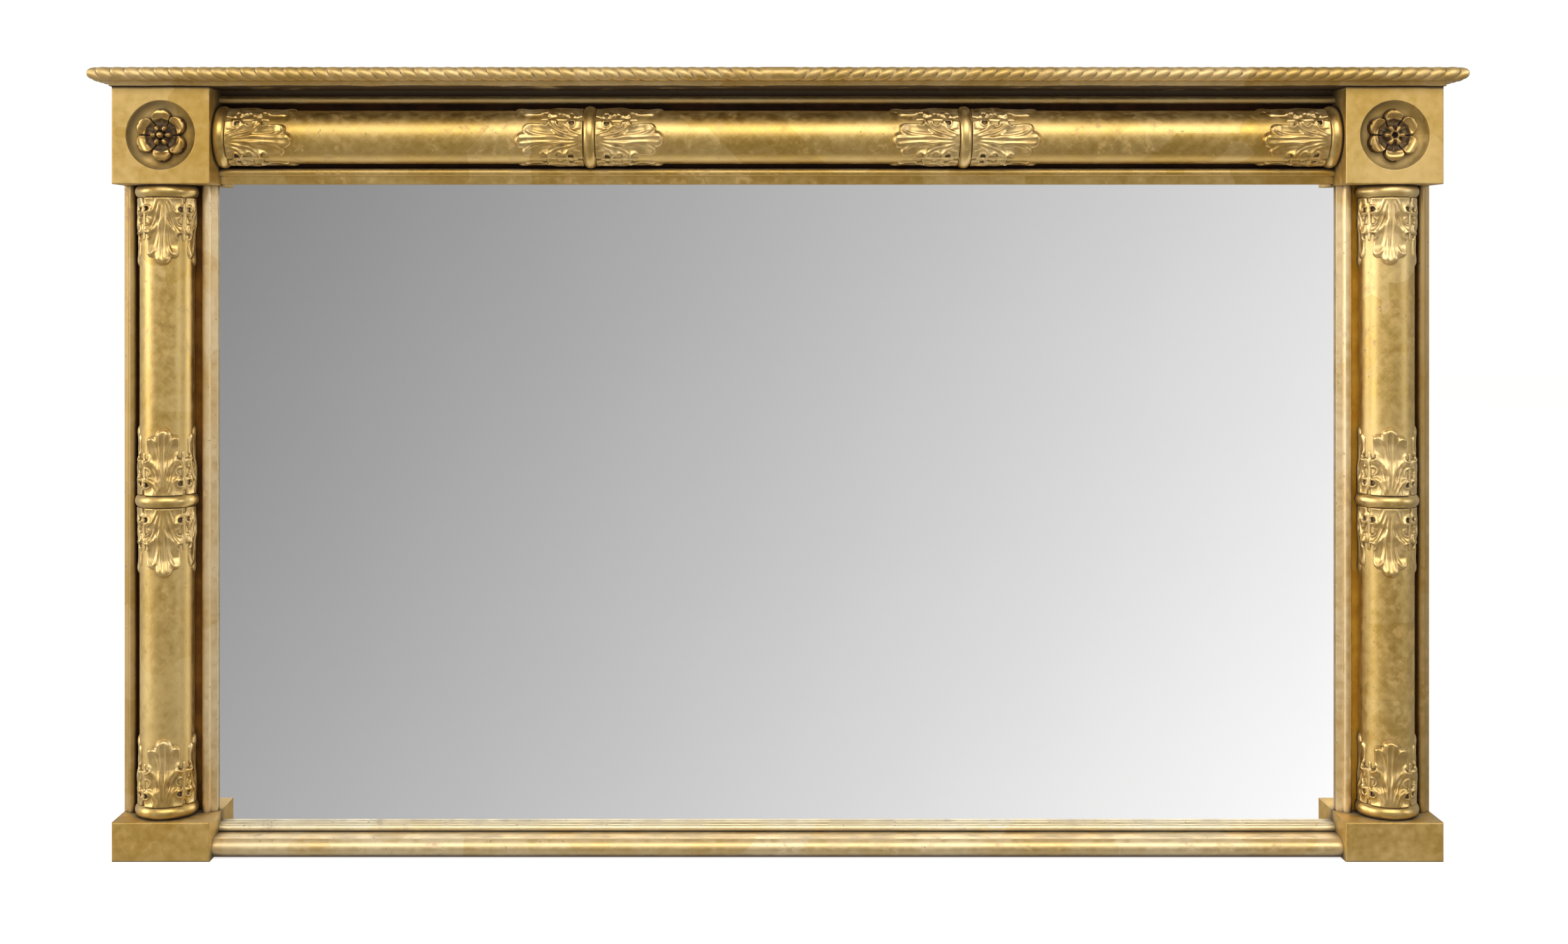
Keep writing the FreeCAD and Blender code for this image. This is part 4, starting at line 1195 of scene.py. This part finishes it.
# %% Assign finishes
FINISHES = (
    ("_hanging_ring", hanger_brass), ("hanger_straps", hanger_brass),
    ("_screws", old_iron), ("_nails", old_iron), ("mirror_plate", silvered_plate),
    ("left_stile", left_stile_shaded_pine), ("right_stile", right_stile_lit_pine), ("_rail", rail_shaded_pine),
    ("_backboard", board_pine), ("_bearers", peg_pine), ("_pegs", peg_pine),
    ("frieze_column", gilt["frieze"]), ("_column", gilt["upright"]), ("_ring", gilt["ring"]),
    ("_block", gilt["block"]), ("_plinth", gilt["block"]), ("cornice_board", gilt["cornice"]),
    ("frieze_cove_moulding", gilt["cove"]), ("frieze_sight_moulding", gilt["moulding"]),
    ("bottom_sight_moulding", gilt["cream"]), ("_sight_moulding", gilt["pale"]),
    ("_outer_moulding", gilt["outer"]), ("_torus", gilt["torus"]),
    ("_leaves", gilt["ornament"]), ("_rosette", gilt["ornament"]), ("_rope", gilt["rope"]),
)
for name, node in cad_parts.items():
    finish = next(material for ending, material in FINISHES if name.endswith(ending))
    node.data.materials.clear()
    node.data.materials.append(finish)
print("finishes on", len(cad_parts), "CAD pieces")

# %% [markdown]
# ## Floor
# The mirror stands on a pale floor that glows a little, so that it and the wall
# behind run together as in a studio.

# %% Floor
FLOOR_HALF = 9.0
FLOOR_GAP = 0.2 * MM
FLOOR_GLOW = 0.62
WHITE = (1.0, 1.0, 1.0)
floor_corners = [(x * FLOOR_HALF, y * FLOOR_HALF, 0) for x, y in ((-1, -1), (1, -1), (1, 1), (-1, 1))]
floor_mesh = bpy.data.meshes.new("studio_floor")
floor_mesh.from_pydata(floor_corners, [], [(0, 1, 2, 3)])
studio_floor = bpy.data.objects.new("studio_floor", floor_mesh)
studio_floor.location.z = cad_box[0][2] - FLOOR_GAP
studio_floor.visible_glossy = False
scene.collection.objects.link(studio_floor)
pale_floor, shader = principled("pale_floor")
scuff = remap(noise(object_place(), 3.0, 5.0), 0.3, 0.7)
feed(shader, Base_Color=mix_colour(scuff, (0.9, 0.9, 0.9), (0.92, 0.92, 0.915)),
     Roughness=0.9, Specular_IOR_Level=0.0, Emission_Color=WHITE, Emission_Strength=FLOOR_GLOW)
floor_mesh.materials.append(pale_floor)
print("floor, m:", 2 * FLOOR_HALF, "square")

# %% [markdown]
# ## Light
# The light is soft. A large light stands far off on the left, so faces turned
# that way are bright. A wide one hangs high in front and draws the bright line
# on the frieze column. A weak, cool one on the right opens the shadows. Each row
# gives the place, the width and height, the power and the colour.

# %% Lights
MIDDLE = Vector((0.0, 0.0, 0.4))
LIGHTS = {
    "left_strip": ((-11.5, -3.6, 3.6), (3.8, 7.0), 520.0, (0.97, 0.98, 1.04)),
    "high_front": ((0.4, -3.6, 3.0), (4.4, 2.0), 98.0, (1.0, 0.99, 0.97)),
    "right_fill": ((5.2, -2.6, 1.6), (1.2, 2.4), 36.0, (0.88, 0.95, 1.15)),
}
for name, (where, size, power, colour) in LIGHTS.items():
    lamp = bpy.data.lights.new(name, "AREA")
    lamp.shape = "RECTANGLE"
    lamp.size, lamp.size_y = size
    lamp.energy = power
    lamp.color = colour
    light = bpy.data.objects.new(name, lamp)
    light.location = where
    light.rotation_euler = (MIDDLE - Vector(where)).to_track_quat("-Z", "Y").to_euler()
    scene.collection.objects.link(light)
print("lights:", list(LIGHTS))

# %% [markdown]
# ## Room
# A mirror shows what stands in front of it. Rays that the plate sends out see a
# room that grades from grey at the upper left to white at the lower right. The
# camera sees a white wall. All other rays get a plain, slightly warm light, a
# little stronger from the left.

# %% Room
ROOM_SLANT = Vector((0.601, 0.0, -0.419))
ROOM_MIDDLE, ROOM_DARKEST, ROOM_LIGHTEST = 0.7, 0.42, 1.02
ROOM_GAMMA, ROOM_GAIN = 2.2, 1.08
WALL_LOW, WALL_HIGH, WALL_LEFT = 0.3, 0.34, 0.2
WARM_WHITE = (1.0, 0.92, 0.78)
room = bpy.data.worlds.new("studio_room")
scene.world = room
room.use_nodes = True
draw_on(room.node_tree).nodes.clear()
ray = place("LightPath").outputs
direction = place("TexCoord").outputs["Generated"]
part = xyz(direction)
slant = vector_calc("DOT_PRODUCT", direction, ROOM_SLANT)["Value"]
depth = calc("MAXIMUM", times(part["Y"], -1.0), 0.1)
shown = calc("ADD", calc("DIVIDE", slant, depth), ROOM_MIDDLE)
shown = calc("MINIMUM", calc("MAXIMUM", shown, ROOM_DARKEST), ROOM_LIGHTEST)
graded = times(calc("POWER", shown, ROOM_GAMMA), ROOM_GAIN)
wall = remap(part["Z"], -0.5, 0.15, WALL_LOW, WALL_HIGH)
light_level = calc("ADD", wall, remap(part["X"], 0.1, -0.9, 0.0, WALL_LEFT))
warm = mix_colour(remap(part["Y"], 0.0, -0.6), WHITE, WARM_WHITE)
strength = mix_value(ray["Is Singular Ray"], light_level, graded)
strength = mix_value(ray["Is Camera Ray"], strength, 1.0)
plain_ray = calc("MAXIMUM", ray["Is Camera Ray"], ray["Is Singular Ray"])
tint = mix_colour(plain_ray, warm, WHITE)
background = place("Background", Color=tint, Strength=strength)
feed(place("OutputWorld"), Surface=background.outputs[0])
scene.view_settings.view_transform = "Standard"
print("the room is ready")
